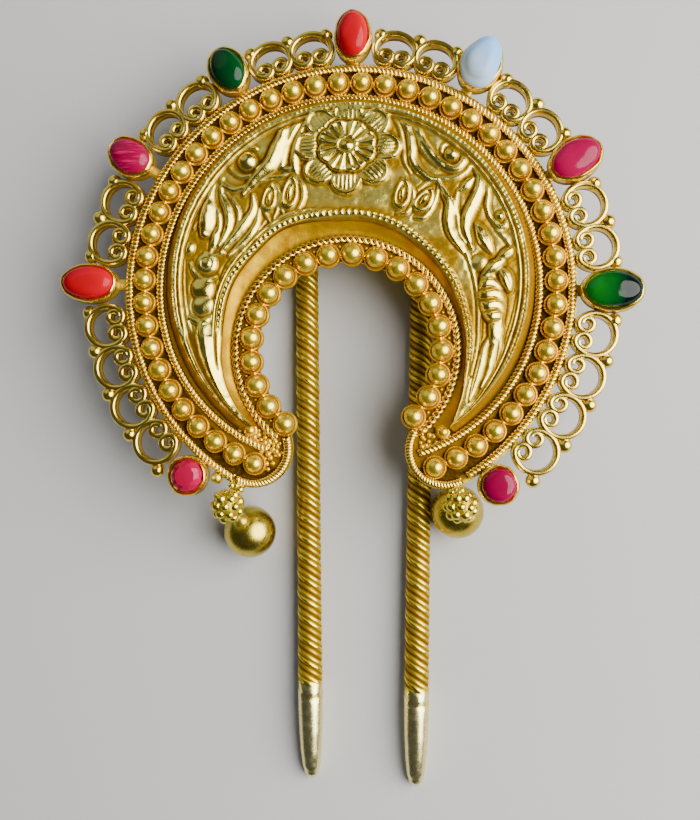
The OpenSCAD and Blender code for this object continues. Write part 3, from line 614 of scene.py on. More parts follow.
def rosette_height(points):
    """A flower with a round button in a collar, eight ribbed petals and a ring of eight shells."""
    petals, button, collar_at, collar_wide = 8, 0.74, 0.92, 0.15
    d = (points - np.array(ROSETTE)) * [0.98, 1.1]
    r = np.hypot(*d.T)
    a = np.degrees(np.arctan2(d[:, 1], d[:, 0]))
    half = 180 / petals
    u = (a % (2 * half) - half) / half
    petal = 2.74 + 0.26 * (1 - u**2)
    dish = 0.26 + 0.16 * np.abs(u) ** 4 + 0.24 * np.clip((r - 2.0) / 0.9, 0, 1) ** 2
    dish += 0.28 * np.exp(-(((np.abs(u) - 0.42) * r / 0.34) ** 2)) * (r > collar_at - 0.02)
    split = 0.3 * np.exp(-(((1 - np.abs(u)) / (0.09 * 2.2 / np.maximum(r, 0.5))) ** 2))
    inner = np.where(r < petal, dish - split, 0) * np.clip((petal - r) / 0.14, 0, 1)
    collar = 0.6 * np.sqrt(np.clip(1 - ((r - collar_at) / collar_wide) ** 2, 0, 1))
    middle = 0.2 + 0.56 * np.clip(1 - (r / button) ** 2, 0, 1) ** 0.75
    best = np.maximum.reduce([inner, collar, np.where(r < button, middle, 0)])
    for k in range(petals):
        shell = petal_shell(d, polar(1.0, 360.0 / petals * k))
        best = np.where((r > petal + 0.16) & (shell > best), shell, best)
    crown = 0.22 * np.clip(1 - (r / 5.2) ** 2, 0, 1)
    return np.where(best > 0.01, best + crown, np.where(r < 4.2, 0.06, 0)), r


def spread(values, times):
    """Blurs a grid of values a number of times."""
    for _ in range(times):
        v = np.pad(values, 1, mode="edge")
        values = (v[:-2, 1:-1] + v[2:, 1:-1] + v[1:-1, :-2] + v[1:-1, 2:] + 2 * v[1:-1, 1:-1]) / 6
    return values


def unevenness(points, pitch, seed):
    """Smooth random ups and downs over the plan, from -1 to 1, about one to each pitch."""
    grid = np.random.default_rng(seed).uniform(-1, 1, (96, 96))
    place = points / pitch + 48
    cell = np.floor(place).astype(int) % 95
    part = place - np.floor(place)
    part = part * part * (3 - 2 * part)
    x, y = cell.T
    u, v = part.T
    low = grid[x, y] * (1 - u) + grid[x + 1, y] * u
    high = grid[x, y + 1] * (1 - u) + grid[x + 1, y + 1] * u
    return low * (1 - v) + high * v


def reach(angle, centre, radius):
    """Distance from the opening's centre, at an angle, to a circle round it."""
    d = np.array(OPENING[0]) - np.array(centre)
    u = polar(1.0, angle)
    b = u @ d
    return -b + np.sqrt(b * b - d @ d + radius**2)


# Angle round the opening, and how much nearer to it the plaque's edge comes there than its circle
LIP_LINE = ((-36, -0.8), (-30, -0.3), (-24, -0.1), (-16, 0.4), (-8, 0.75), (4, 0.95), (20, 1.2), (40, 1.12),
            (56, 1.1), (68, 0.85), (80, 0.72), (94, 0.8), (103, 0.5), (112, 0.1), (120, -0.15), (133, 0.1),
            (150, -0.05), (165, 0.2), (178, 0.25), (190, -0.05), (200, -0.18), (212, -0.1), (222, 0.15))
# Angle round the opening, and the width of the slope between that edge and the row of teeth
BEVEL = ((-30, 0.2), (15, 0.3), (40, 0.42), (60, 0.58), (95, 0.68), (104, 0.45), (115, 0.2), (222, 0.15))
# Width of the inner rim's row of teeth, and the step between the thin lines beside it
TOOTH_BAND = 0.42
THIN_STEP = 0.34
# Width of the whole outer rim, and of the slope outside it that runs down to the middle rope
OUTER_RIM = 0.98
SKIRT = 0.72
# Section of the left horn's leaf, from the opening outward, and of the two grooves in its upper part
LEAF_SECTION = ([0, 0.05, 0.12, 0.18, 0.24, 0.32, 0.38, 0.44, 0.5, 0.6, 0.8, 1.0],
                [-0.05, 0.13, 0.15, -0.17, -0.17, -0.08, 0.16, 0.44, 0.6, 0.62, 0.36, 0.0])
LEAF_GROOVES = ([0.8, 0.85, 0.9, 0.95, 1.0], [0.0, -0.34, 0.02, 0.02, -0.1])


def outside(points, round_edge):
    """How far outside a circle each point of the plan lies."""
    centre, radius = round_edge
    return np.hypot(points[..., 0] - centre[0], points[..., 1] - centre[1]) - radius


def arc_along(points, round_edge):
    """How far along a circle each point of the plan lies."""
    (x, y), radius = round_edge
    return np.arctan2(points[:, 1] - y, points[:, 0] - x) * radius


def by_angle(angle, table):
    """A value that changes smoothly with the angle round the opening."""
    at, value = np.array(table).T
    return sum(np.interp(angle + off, at, value) for off in (-4, -2, 0, 2, 4)) / 5


def edge_gain(angle):
    return by_angle(angle, LIP_LINE)


def raised_forms(points, scale):
    """Height of the lines, buds and bosses above the field, and where the field is cut round them."""
    raised = np.zeros(len(points))
    cut = np.zeros(len(points))
    for row in RELIEF:
        ends = np.array(row[1])
        room = max(row[2]) * STROKE_SPREAD + 0.5
        near = np.all((points > ends.min(0) - room) & (points < ends.max(0) + room), axis=1)
        high, groove = relief_line(points[near], row)
        raised[near] = np.maximum(raised[near], high * scale)
        cut[near] = np.maximum(cut[near], groove)
    for top, foot, wide in ALMONDS:
        top, foot = np.array(top), np.array(foot)
        axis = (top - foot) / np.linalg.norm(top - foot)
        rel = points - (top + foot) / 2
        up, out = rel @ axis / (np.linalg.norm(top - foot) / 2), rel @ [axis[1], -axis[0]] / wide
        out = out + 0.25 * np.clip(-up, 0, 1) ** 2
        u = np.hypot(up, out * (1 + 0.25 * up))
        rim = 0.46 * np.exp(-(((u - 0.92) / 0.2) ** 2))
        core = 0.62 * np.clip(1 - ((up - 0.05) / 0.68) ** 2 - ((out + 0.05) / 0.54) ** 2, 0, 1) ** 0.9
        bud = np.maximum(np.where(u < 0.88, 0, raised), np.maximum(rim, core) * scale)
        raised = np.where(u < 1.5, bud, raised)
    for centre, radius, high, engraved in BOSSES:
        far = np.hypot(*(points - np.array(centre)).T)
        dome = high * np.clip(1 - (far / radius) ** 2, 0, 1) ** 0.9
        if engraved:
            dome = dome - 0.14 * np.exp(-(((far - engraved) / 0.09) ** 2)) * (far < radius)
        raised = np.maximum(raised, dome * scale)
        cut = np.maximum(cut, np.exp(-(((far - radius) / CHASED) ** 2)) * (far > radius))
    return raised, cut


def inner_rim(points, angle, inward, plain, inside):
    """From the edge in: a slope, a row of slanted teeth and, on the left, two thin lines."""
    bevel = by_angle(angle, BEVEL)
    double = np.clip((angle - 96) / 14, 0, 1)
    past = inward - bevel
    tooth_step = 0.64 - 0.08 * (angle > 105)
    tooth = 2 * np.abs((arc_along(points, PLAQUE_INNER) / tooth_step + past * 0.8) % 1 - 0.5)
    notch = np.clip(1.9 * tooth - 0.45, 0, 1) * plain
    slope = RIM_H - 0.08 - 0.36 * np.clip(1 - inward / bevel, 0, 1)
    between = np.clip(1.2 - np.abs(past - 0.21) / 0.12, 0, 1) * double + 1 - double
    rounded = 0.5 * (1 - double) * ((past - 0.2) / 0.4) ** 2
    teeth = RIM_H + 0.08 - (0.34 - 0.06 * double) * notch * between - rounded
    off_line = np.abs(past % THIN_STEP - THIN_STEP / 2)
    thin = RIM_H - 0.3 + (0.06 + 0.22 * double) * np.clip(1 - (off_line / 0.12) ** 2, 0, 1) ** 0.5
    lines_end = TOOTH_BAND + THIN_STEP * 2 * double + 0.1 * (1 - double)
    return np.select([inward < bevel, past < TOOTH_BAND, past < lines_end], [slope, teeth, thin], inside)


def outer_rim(points, outward, skirt, plain, inside):
    """From the edge in: the skirt, a rough serrated band, a groove and a thin ridge."""
    notch = 0.5 + 0.5 * np.cos(2 * np.pi * arc_along(points, PLAQUE_OUTER) / 0.5)
    teeth = notch * np.clip((0.34 - outward) / 0.1, 0, 1)
    band = RIM_H - 0.1 - 0.15 * teeth * plain - 0.3 * outward
    groove = np.full_like(outward, RIM_H - 0.46)
    ridge = RIM_H - 0.4 + 0.26 * np.sqrt(np.clip(1 - ((outward - 0.82) / 0.16) ** 2, 0, 1))
    steps = [outward < 0, outward < 0.5, outward < 0.66, outward < OUTER_RIM]
    return np.select(steps, [skirt, band, groove, ridge], inside)


def left_leaf(points, inward, outward, skirt):
    """Height of the smooth leaf that the left horn ends in."""
    across = outward / np.maximum(0.3, inward + outward)
    narrow = np.clip((inward + outward) / 3.0, 0.42, 1.0)
    upper_part = 1 - np.clip((-7.6 - points[:, 1]) / 1.2, 0, 1)
    groove = np.interp(across, *LEAF_GROOVES)
    crest = RIM_H - 0.25 + narrow * (np.interp(across, *LEAF_SECTION) + groove * upper_part)
    return np.where(outward < 0, skirt - 0.1, crest)


def plaque_height(points, relief_h):
    """Height of the plaque above the plate at points of its plan."""
    away = points - np.array(OPENING[0])
    angle = (np.degrees(np.arctan2(away[:, 1], away[:, 0])) + 90) % 360 - 90
    inward = outside(points, PLAQUE_INNER) + edge_gain(angle)
    outward = -outside(points, PLAQUE_OUTER)
    across = inward / np.maximum(0.01, inward + outward)
    field = RIM_H - 0.42 + 0.1 * np.sin(np.pi * np.clip(across, 0, 1))
    scale = relief_h / RELIEF_H
    raised, cut = raised_forms(points, scale)
    flower, r = rosette_height(points)
    raised = np.where(r < ROSETTE_R, 0, raised)
    cut = np.where(r < ROSETTE_R, 0.6, cut)
    # Along the horns the plaque narrows, and its two rims narrow with it and lose their notches
    room = np.clip((inward + outward) / 5.2, 0.25, 1.0)
    plain = np.clip((room - 0.62) / 0.3, 0, 1)
    inward_at, outward_at = inward, outward
    inward = inward / room
    outward = np.where(outward > 0, outward / room, outward)
    edge = np.clip((np.minimum(inward - 0.8, outward - 1.1)) / 0.25, 0, 1)
    high = field + np.where(raised > 0.015, raised * edge, -0.08 * cut * edge)
    high = np.maximum(high, np.where(flower > 0.01, field + flower * scale * 0.85, 0))
    skirt = RIM_H - 0.22 - 1.03 * np.clip(-outward / 0.75, 0, 1) ** 1.3
    inner = inner_rim(points, angle, inward, plain, high)
    outer = outer_rim(points, outward, skirt, plain, inner)
    # Where the horns grow narrow the rims take the room that is left
    rims = np.where(outward < np.minimum(inward, OUTER_RIM), outer, inner)
    rims = np.where((flower > 0.01) & (outward > 0.5), np.maximum(rims, high), rims)
    # Below the buds the left horn's leaf takes the whole width
    leaf = np.clip((-3.9 - points[:, 1]) / 1.4, 0, 1) * (points[:, 0] < 0)
    rims = rims * (1 - leaf) + left_leaf(points, inward_at, outward_at, skirt) * leaf
    # The right horn ends bluntly
    stump = np.clip((angle + 34.0) / 1.5, 0, 1)
    return np.where(points[:, 0] > 0, skirt - 0.1 + (rims - skirt + 0.1) * stump, rims)


def plaque_hollow(plan, height):
    """How deep each point of the plaque lies in patina and painted shade and, below 0, how strong the painted
    highlight on its crests is.
    """
    x, y = plan.transpose(2, 0, 1)
    horn = np.clip((x - 12.4) / 0.8, 0, 1) * np.clip((4.6 - y) / 1.5, 0, 1)
    # Patina and painted shade gather where the surface lies below its surroundings
    small = np.clip((spread(height, 14) - height) / 0.2, 0, 1)
    large = np.clip((spread(height, 90) - height) / 0.32, 0, 1)
    hollow = np.clip(small + 0.6 * large, 0, 1)
    # Painted highlight: crests that stand above their surroundings are paled
    pale = 0.55 * (1 - 0.75 * horn) * np.clip((height - spread(height, 40)) / 0.3, 0, 1)
    hollow = np.where(hollow > 0, hollow, -pale)
    # The skirt is in thin patina with painted shade, and its foot in thick
    rise = -outside(plan, PLAQUE_OUTER)
    hollow = np.maximum(hollow, 0.52 * np.clip(0.1 - rise, 0, 0.1) / 0.1)
    hollow = np.maximum(hollow, 0.9 * np.clip((-0.55 - rise) / 0.12, 0, 1))
    # Amber lies in the field and on the flanks of the right horn, and in patches of the field elsewhere
    field = np.clip((RIM_H - 0.12 - height) / 0.15, 0, 1)
    uneven = unevenness(plan.reshape(-1, 2), 3.2, 8).reshape(height.shape)
    patches = np.clip(0.5 + 1.6 * uneven, 0, 1) * (rise > 0.9)
    hollow = np.maximum(hollow, field * (0.18 + 0.26 * np.maximum(horn, patches)))
    flank = np.clip((RIM_H + 0.12 - height) / 0.3, 0, 1) * (rise > 1.0)
    hollow = np.maximum(hollow, 0.42 * horn * flank)
    # Patina with painted shade lies along the foot of the left horn's leaf
    leaf = np.clip((-4.4 - y) / 0.8, 0, 1) * (x < 0)
    across = rise / np.maximum(0.3, rise + outside(plan, PLAQUE_INNER))
    return np.maximum(hollow, leaf * np.interp(across, [0.17, 0.22, 0.34, 0.46], [0.0, 0.75, 0.6, 0.0]))


def sheet_form(plan, height, hollow, rim_hollow):
    """A sheet over rows of the plan, with walls down to the plate along its two long edges and its ends."""
    top = np.concatenate([plan, (DECK + height)[..., None]], -1)
    foot = top[:, [0, -1]].copy()
    foot[..., 2] = DECK
    sheet = np.concatenate([foot[:, :1], top, foot[:, 1:]], 1)
    # The walls' feet take rim_hollow, which gives patina and painted shade where the sheet meets the plate
    hollow = np.pad(hollow, ((0, 0), (1, 1)), constant_values=((0, 0), rim_hollow))
    columns, rows = sheet.shape[:2]
    faces = [grid_faces(columns, rows, False, True)] + end_faces(columns, rows)
    return Form().add((sheet.reshape(-1, 3), faces), hollow)


def build_plaque(sizes, finish):
    columns, rows = 760, 118
    angle = np.linspace(-36.0, 221.5, columns)
    low = np.array([reach(a, *PLAQUE_INNER) for a in angle]) - edge_gain(angle)
    high = np.array([reach(a, PLAQUE_OUTER[0], PLAQUE_OUTER[1] + SKIRT) for a in angle])
    distance = low[:, None] + (high - low)[:, None] * np.linspace(0, 1, rows)[None]
    plan = np.array(OPENING[0]) + distance[..., None] * polar(1.0, angle)[:, None]
    flat_plan = plan.reshape(-1, 2)
    height = plaque_height(flat_plan, sizes.relief_height / MM).reshape(columns, rows)
    uneven = 0.034 * unevenness(flat_plan, 0.5, 5) + 0.05 * unevenness(flat_plan, 1.4, 6)
    height = spread(height + uneven.reshape(columns, rows), 1)
    # The plaque's walls get patina with painted shade at their feet
    form = sheet_form(plan, height, plaque_hollow(plan, height), (0.6, 0.6))
    make_piece("plaque_relief", form, finish, ["plaque"], crease=0)


def build_band(finish):
    columns, rows = 300, 16
    angle = np.linspace(-40.0, 222.0, columns)
    low = INNER_ROPE[1] + 0.42
    high = np.array([reach(a, *PLAQUE_INNER) for a in angle]) - edge_gain(angle) - 0.02
    t = np.linspace(0, 1, rows)
    out = low + (high - low)[:, None] * t[None]
    plan = np.array(OPENING[0]) + out[..., None] * polar(1.0, angle)[:, None]
    flat_plan = plan.reshape(-1, 2)
    uneven = 0.045 * unevenness(flat_plan, 1.0, 9) + 0.02 * unevenness(flat_plan, 0.4, 10)
    height = 0.2 + 0.62 * t[None] ** 1.7 + uneven.reshape(columns, rows)
    # Patina and painted shade darken the band along the inner rope and under the plaque's edge, and at its
    # walls' feet
    edges = 0.62 * np.exp(-((t / 0.2) ** 2)) + 0.3 * np.exp(-(((1 - t) / 0.16) ** 2))
    form = sheet_form(plan, height, np.tile(edges, (columns, 1)), (0.7, 0.3))
    make_piece("cavetto_polished", form, finish, ["cavetto_band"], crease=60)


# Ropes

def twisted_cord(line, width, lead):
    """Two strands wound round each other along a line of the plan, a little flatter than they are wide."""
    long = np.linalg.norm(np.diff(line, axis=0), axis=1).sum()
    centre, s = even_line(line, max(24, int(long / lead * 14)))
    ahead = np.gradient(centre, axis=0)
    ahead /= np.linalg.norm(ahead, axis=1, keepdims=True)
    side = np.stack([ahead[:, 1], -ahead[:, 0]], -1)
    out = []
    for start in (0.0, np.pi):
        a = start - 2 * np.pi * s / lead
        plan = centre + side * (width * 0.31 * np.cos(a))[:, None]
        path = np.column_stack([plan, DECK + width * (0.38 + 0.18 * np.sin(a))])
        out.append(sweep(path, circle(width * 0.22, 8)))
    return out


def rope_line(centre, radius, first, last):
    return polar(radius, np.linspace(first, last, max(12, int(abs(last - first) * 2))), centre)


# The middle rope's two lower ends: how much tighter they curve, and the angles below level that they span
TUCK = 2.2
TUCK_FROM = 15.0
TUCK_TO = 71.0


def middle_line():
    """The middle rope's line: a wide arc, and a tighter one from each of its ends to a horn tip."""
    (x, y), radius = MIDDLE_ROPE
    side = TUCK * math.cos(math.radians(TUCK_FROM))
    down = TUCK * math.sin(math.radians(TUCK_FROM))
    return np.vstack([rope_line((x + side, y - down), radius - TUCK, -TUCK_TO, -TUCK_FROM),
                      rope_line((x, y), radius, -TUCK_FROM, 180 + TUCK_FROM)[1:],
                      rope_line((x - side, y - down), radius - TUCK, 180 + TUCK_FROM, 180 + TUCK_TO)[1:]])


def build_ropes(sizes, finish):
    width, lead = sizes.rope_width / MM, sizes.rope_lead / MM
    # Name, nodes, line, and how long one turn of the strands is beside the lead
    ropes = (
        ("outer_rope_wires", ["outer_rope"], rope_line((0, 0), 22.2, -56.0, 240.5), 1.0),
        ("middle_rope_wires", ["middle_rope", "middle_rope_left", "middle_rope_right"], middle_line(), 1.0),
        ("inner_rope_wires", ["inner_rope"], rope_line(*INNER_ROPE, -47, 233.5), 1.4),
        ("tip_rope_left_wires", ["tip_rope_left"], rope_line(*TIP_LEFT, -116, 19), 0.7),
        ("tip_rope_right_wires", ["tip_rope_right"], rope_line(*TIP_RIGHT, 150, 300), 0.7),
    )
    for name, nodes, line, longer in ropes:
        form = Form()
        for strand in twisted_cord(line, width, lead * longer):
            form.add(strand)
        make_piece(name, form, finish, nodes, crease=0)


# Bead rows

# Angle of the first bead, the angle from the first to the last, and how many there are
OUTER_ROW = (243.7, 306.3, 48)
INNER_ROW = (232.3, 275.6, 20)
# Radius of the drop of solder between two cups, and how high its middle lies above the plate
SOLDER_R = 0.26
SOLDER_Z = 0.45


def row_angle(row, i):
    first, whole, count = row
    return first - i * whole / (count - 1)


def outer_place(i):
    """Place of a bead of the outer row, whose two ends run in towards the horn tips."""
    a = row_angle(OUTER_ROW, i)
    over = np.maximum(0, np.abs(a - 90) - 110) / 44
    return polar(20.66 - 0.8 * over**2, a)


def inner_place(i):
    return polar(9.56, row_angle(INNER_ROW, i), OPENING[0])


def bead_row(places, bead_r, ring_r, wire, form, cups):
    """Beads in their cups: a ring of wire round each, a dished floor and a drop of solder between two."""
    rng = np.random.default_rng(len(places))
    n, sides = len(places), 28
    spots = flat_line(places, DECK)
    sit = 0.45 + bead_r * 0.35
    turn = rng.uniform(0, 6.28, n)
    form.add(copies(ball(bead_r, 24, 14, (0, 0, sit)), spots, turn, 1 + rng.uniform(-0.02, 0.015, n)))
    dish = [(bead_r * 0.6, 0.2), (bead_r * 0.86, 0.36), (ring_r - 0.1, 0.5), (ring_r, 0.58),
            (ring_r + wire * 0.5, 0.61), (ring_r + wire, 0.54), (ring_r + wire * 1.2, 0.4),
            (ring_r + wire * 1.2, 0.0), (bead_r * 0.6, 0.0)]
    # Painted shade, in the patina's tones, in the dish round the bead's foot and at the foot of the cup
    cup_shade = np.repeat([0.6, 0.3, 0.08, 0.0, 0.0, 0.0, 0.3, 0.9, 0.9], sides)
    cups.add(copies(turned(dish, sides), spots, turn), np.tile(cup_shade, n))
    gaps = (places[1:] + places[:-1]) / 2
    cups.add(copies(ball(SOLDER_R, 12, 8, squash=0.8), flat_line(gaps, DECK + SOLDER_Z)))


def build_bead_rows(sizes, finish, cup_finish):
    half = OUTER_ROW[2] // 2
    rows = {
        "outer_beads_left": [outer_place(i) for i in range(half)],
        "outer_beads_right": [outer_place(i) for i in range(half, 2 * half)],
        "inner_beads": [inner_place(i) for i in range(INNER_ROW[2])],
    }
    for node, places in rows.items():
        inner = node == "inner_beads"
        bead_r = (sizes.inner_bead if inner else sizes.outer_bead) / MM / 2
        beads, cups = Form(), Form()
        bead_row(np.array(places), bead_r, 1.08 if inner else 1.02, 0.14, beads, cups)
        if node == "outer_beads_right":
            between = (outer_place(half - 1) + outer_place(half)) / 2
            cups.add(ball(SOLDER_R, 12, 8, (*between, DECK + SOLDER_Z), 0.8))
        make_piece(node + "_balls", beads, finish, [node], crease=0)
        make_piece(node + "_cups", cups, cup_finish, crease=60)


# Granules and solder at the tips

# Lines along which granules lie: first and last point, and how far they spread beside the line
GRANULE_LINES = (((-8.9, -15.1), (-6.7, -16.3), 0.75), ((-6.9, -15.9), (-7.6, -18.2), 0.45),
                 ((9.4, -14.9), (8.0, -15.7), 0.6), ((8.1, -13.2), (7.5, -14.5), 0.4),
                 ((-10.3, -14.6), (-9.9, -15.3), 0.3))
GRANULE_R = 0.25
GRANULE_STEP = 0.4
# The larger bead at each end of the plaque
END_BEADS = ((-9.3, -14.5), (9.85, -14.2))
END_BEAD_R = 0.58


def build_granules(finish):
    """Small grains at both tips and beside the inner beads, and a larger bead at each end of the plaque."""
    rng = np.random.default_rng(21)
    form = Form()
    for first, last, wide in GRANULE_LINES:
        first, last = np.array(first), np.array(last)
        spots = []
        for _ in range(500):
            spot = first + (last - first) * rng.uniform() + rng.uniform(-wide, wide, 2)
            if all(np.hypot(*(spot - q)) > GRANULE_STEP for q in spots):
                spots.append(spot)
        places = flat_line(np.array(spots), DECK + 0.1)
        form.add(copies(ball(GRANULE_R, 10, 8), places, None, rng.uniform(0.75, 1.3, len(spots))), 0.1)
    for i in range(INNER_ROW[2] - 1):
        a = row_angle(INNER_ROW, i + 0.5)
        spot = polar(10.36, a + rng.uniform(-0.3, 0.3), OPENING[0])
        form.add(ball(0.17, 10, 6, (*spot, DECK + 0.12)), 0.1)
    for spot in END_BEADS:
        form.add(ball(END_BEAD_R, 20, 12, (*spot, DECK + 0.8)))
        form.add(ring(END_BEAD_R, 0.14, 20, 8, (*spot, DECK + 0.45)))
    make_piece("solder_granules", form, finish, crease=0)


# Scroll border

# Angle between two scrolls, and between a stone and the ball beside it
SCROLL_STEP = 10
BALL_SIDE = 6.3
# Angle of the first scroll of each run between two stones, and how many scrolls the run has
RUNS = [(190, 4), (160, 2), (130, 2), (100, 2), (70, 2), (40, 2), (10, 2), (-40, 4)]
# Where the border ends, in a ball at each side
BORDER_ENDS = (-45, 225)


def flat_share(a):
    """How tall the border is at an angle: it is a fifth lower at the top."""
    return 1 - 0.2 * max(0.0, math.sin(math.radians(a))) ** 2


def scroll_line(tall):
    """One scroll in its own frame: X along the edge and Y out. Both ends of the arc wind in to a curl."""
    arc_r, arc_y, curl_r = 2.08, 1.97, 0.74
    arc = polar(arc_r, np.linspace(229, -49, 46), (0, arc_y))
    ends = []
    for side in (1, -1):
        end = arc[-1] if side > 0 else arc[0]
        c = end + (np.array([0, arc_y]) - end) / arc_r * curl_r
        a0 = math.degrees(math.atan2(end[1] - c[1], end[0] - c[0]))
        a = a0 - side * np.linspace(6, 400, 40)
        radii = (curl_r * np.r_[np.ones(24), np.linspace(0.97, 0.45, 16)])[:, None]
        ends.append(np.array(c) + radii * polar(1.0, a))
    line = np.vstack([ends[1][::-1], arc, ends[0]])
    return line * [1.0, tall]


def scroll_section(half, top):
    """Section of the border's wire: flat sides and a rounded top."""
    right = [(half, 0.0), (half, top - half), (half * 0.92, top - half * 0.55),
             (half * 0.66, top - half * 0.2), (half * 0.3, top - 0.02)]
    left = [(-x, z) for x, z in right[::-1]]
    return left[-1:] + right + left[:-1]


def build_filigree(sizes, finish):
    section = scroll_section(sizes.scroll_wire / MM / 2, sizes.scroll_height / MM)
    rng = np.random.default_rng(3)
    for k, (first, count) in enumerate(RUNS):
        form = Form()
        for a in [first + SCROLL_STEP * i for i in range(count)]:
            turn = math.radians(a - 90)
            c, s = math.cos(turn), math.sin(turn)
            line = (scroll_line(flat_share(a)) + [0, PLATE_R + 0.02]) @ np.array([[c, s], [-s, c]])
            path, _ = even_line(flat_line(line, PLATE_LOW), 150)
            form.add(sweep(path, section))
        balls = [first + SCROLL_STEP * i + SCROLL_STEP // 2 for i in range(count - 1)]
        balls = [first - SCROLL_STEP + BALL_SIDE] + balls + [first + SCROLL_STEP * count - BALL_SIDE]
        if k == 0:
            balls[-1] = BORDER_ENDS[1]
        if k == len(RUNS) - 1:
            balls[0] = BORDER_ENDS[0]
        for a in balls:
            at = polar(PLATE_R + 3.75 * flat_share(a), a)
            size = 0.76 + rng.uniform(-0.03, 0.02)
            form.add(ball(size, 20, 12, (*at, PLATE_LOW + 0.72)))
        make_piece(f"filigree_{k + 1}_scrolls", form, finish, [f"filigree_{k + 1}"], crease=40)


# Stones

# Angle, distance of the centre, half length, half width, height
STONES = [
    (231.2, 24.62, 2.02, 2.02, 1.0), (180, 26.1, 2.93, 2.0, 1.1), (150, 25.75, 2.5, 2.0, 1.0),
    (120, 25.1, 2.5, 2.0, 1.1), (90, 25.18, 2.57, 1.9, 1.2), (60, 25.5, 2.6, 2.15, 1.9),
    (30, 25.6, 2.82, 2.1, 1.0), (0, 25.95, 3.08, 2.15, 1.1), (308.6, 24.62, 2.02, 2.02, 0.9)]
# Power of each dome's outline, its bulge over the bezel and its unevenness. The first stone is cut
DOMES = [None, (0.5, 0.0, 0.03), (0.7, 0.0, 0.05), (0.75, 0.0, 0.05), (0.62, 0.02, 0.03), (0.55, 0.14, 0.12),
         (0.72, 0.0, 0.05), (0.7, 0.0, 0.03), (0.42, 0.0, 0.0)]
BEZEL_H = 1.7
# Width of each lip, as it is seen round its stone
BEZEL_LIPS = (0.42, 0.4, 0.52, 0.5, 0.46, 0.42, 0.52, 0.58, 0.5)
# Hollow of each row of a collet, from its foot to the inside of its lip: patina with painted shade,
# darkest inside the lip and at the foot
COLLET_HOLLOW = (0.5, 0.5, 0.3, 0.4, 0.15, 0, 0, 0, 0, 0.1, 0.6, 1.0)
# Section of the bar that joins a collet to the plate
BAR = ((-0.55, 0.0), (0.55, 0.0), (0.55, 0.3), (0.4, 0.38), (-0.4, 0.38), (-0.55, 0.3))
# How much smaller a stone is than its collet all round, and how deep its girdle lies in it
STONE_INSET = 0.34
STONE_SUNK = 0.25


def at_stone(points, i):
    """Moves points from a stone's own frame, where X is outward, to its place on the head."""
    angle, out = math.radians(STONES[i][0]), STONES[i][1]
    c, s = math.cos(angle), math.sin(angle)
    x = points[:, 0] + out
    return np.column_stack([x * c - points[:, 1] * s, x * s + points[:, 1] * c, points[:, 2] + DECK])


def oval_rows(rows, half_l, half_w, sides, phase):
    """Rows of (inset, height, share of the unevenness) round an oval, from its foot up and over its lip."""
    a = np.arange(sides) * 2 * np.pi / sides
    uneven = 0.03 * np.sin(3 * a + phase) + 0.02 * np.sin(7 * a + 2 * phase) + 0.012 * np.sin(13 * a)
    out = []
    for inset, z, share in rows:
        x = (half_l - inset + uneven * share) * np.cos(a)
        y = (half_w - inset + uneven * share) * np.sin(a)
        out.append(np.stack([x, y, np.full(sides, z)], -1))
    return np.array(out)


def build_bezels(finish):
    for i, (_, out, half_l, half_w, _) in enumerate(STONES):
        lip = BEZEL_LIPS[i]
        rows = [(0.3, 0.02, 0), (0.0, 0.02, 0), (-0.02, 0.18, 0), (0.05, 0.34, 0.3), (0.04, 0.9, 0.5),
                (0.0, 1.3, 1), (0.02, 1.48, 1), (lip * 0.22, 1.66, 1), (lip * 0.5, BEZEL_H + 0.05, 1.3),
                (lip * 0.8, BEZEL_H - 0.06, 1.6), (lip, BEZEL_H - 0.24, 1.6), (lip + 0.02, BEZEL_H - 0.7, 0)]
        points = oval_rows(rows, half_l, half_w, 72, i * 1.7)
        n, k = points.shape[:2]
        faces = [grid_faces(n, k, False, True)[:, ::-1]] + [end[:, ::-1] for end in end_faces(n, k)]
        form = Form().add((at_stone(points.reshape(-1, 3), i), faces), np.repeat(COLLET_HOLLOW, k))
        length = out - half_l * 0.9 - (PLATE_R - 0.2)
        if length > 0.1:
            start = PLATE_R - 0.15 - out
            x = np.linspace(start, start + length + 0.3, 4)
            points, faces = sweep(np.column_stack([x, np.zeros(4), np.full(4, 0.02)]), BAR)
            # The bar gets patina with painted shade
            form.add((at_stone(points, i), faces), 0.3)
        make_piece(f"bezel_{i + 1}_collet", form, finish, [f"bezel_{i + 1}"], crease=50)


def domed_stone(half_l, half_w, rise, dome, sides=72, rows=22):
    """A cabochon: its seat, its girdle and its dome."""
    power, bulge, lumps = dome
    a = np.arange(sides) * 2 * np.pi / sides
    t = np.linspace(0, 1, rows)[:-1]
    share = np.cos(t * np.pi / 2) ** power
    z = np.sin(t * np.pi / 2) * rise
    grow = 1 + bulge * np.sin(np.clip(t * 2.2, 0, 1) * np.pi)
    uneven = 1 + lumps * (0.5 * np.sin(2 * a + 0.7) + 0.35 * np.sin(3 * a + 2.1) + 0.15 * np.sin(5 * a))
    x = half_l * (share * grow)[:, None] * np.cos(a) * uneven
    y = half_w * (share * grow)[:, None] * np.sin(a) * uneven
    tip = lumps * 0.9 * (1 - share[:, None]) * np.array([1.0, 0.4])
    lift = z[:, None] * (1 + lumps * 0.8 * np.cos(a + 0.6)[None] * share[:, None])
    points = np.stack([x + tip[:, :1], y + tip[:, 1:], lift], -1)
    seat = np.stack([half_l * 0.97 * np.cos(a), half_w * 0.97 * np.sin(a), np.full(sides, -0.6)], -1)[None]
    points = np.concatenate([seat, points])
    n = len(points)
    j = np.arange(sides)
    last = (n - 1) * sides
    cap = np.stack([np.full(sides, n * sides), last + j, last + (j + 1) % sides], -1)
    faces = [grid_faces(n, sides, False, True)[:, ::-1], j[::-1][None], cap]
    top = [[lumps * 0.9, lumps * 0.36, rise]]
    return np.vstack([points.reshape(-1, 3), top]), faces


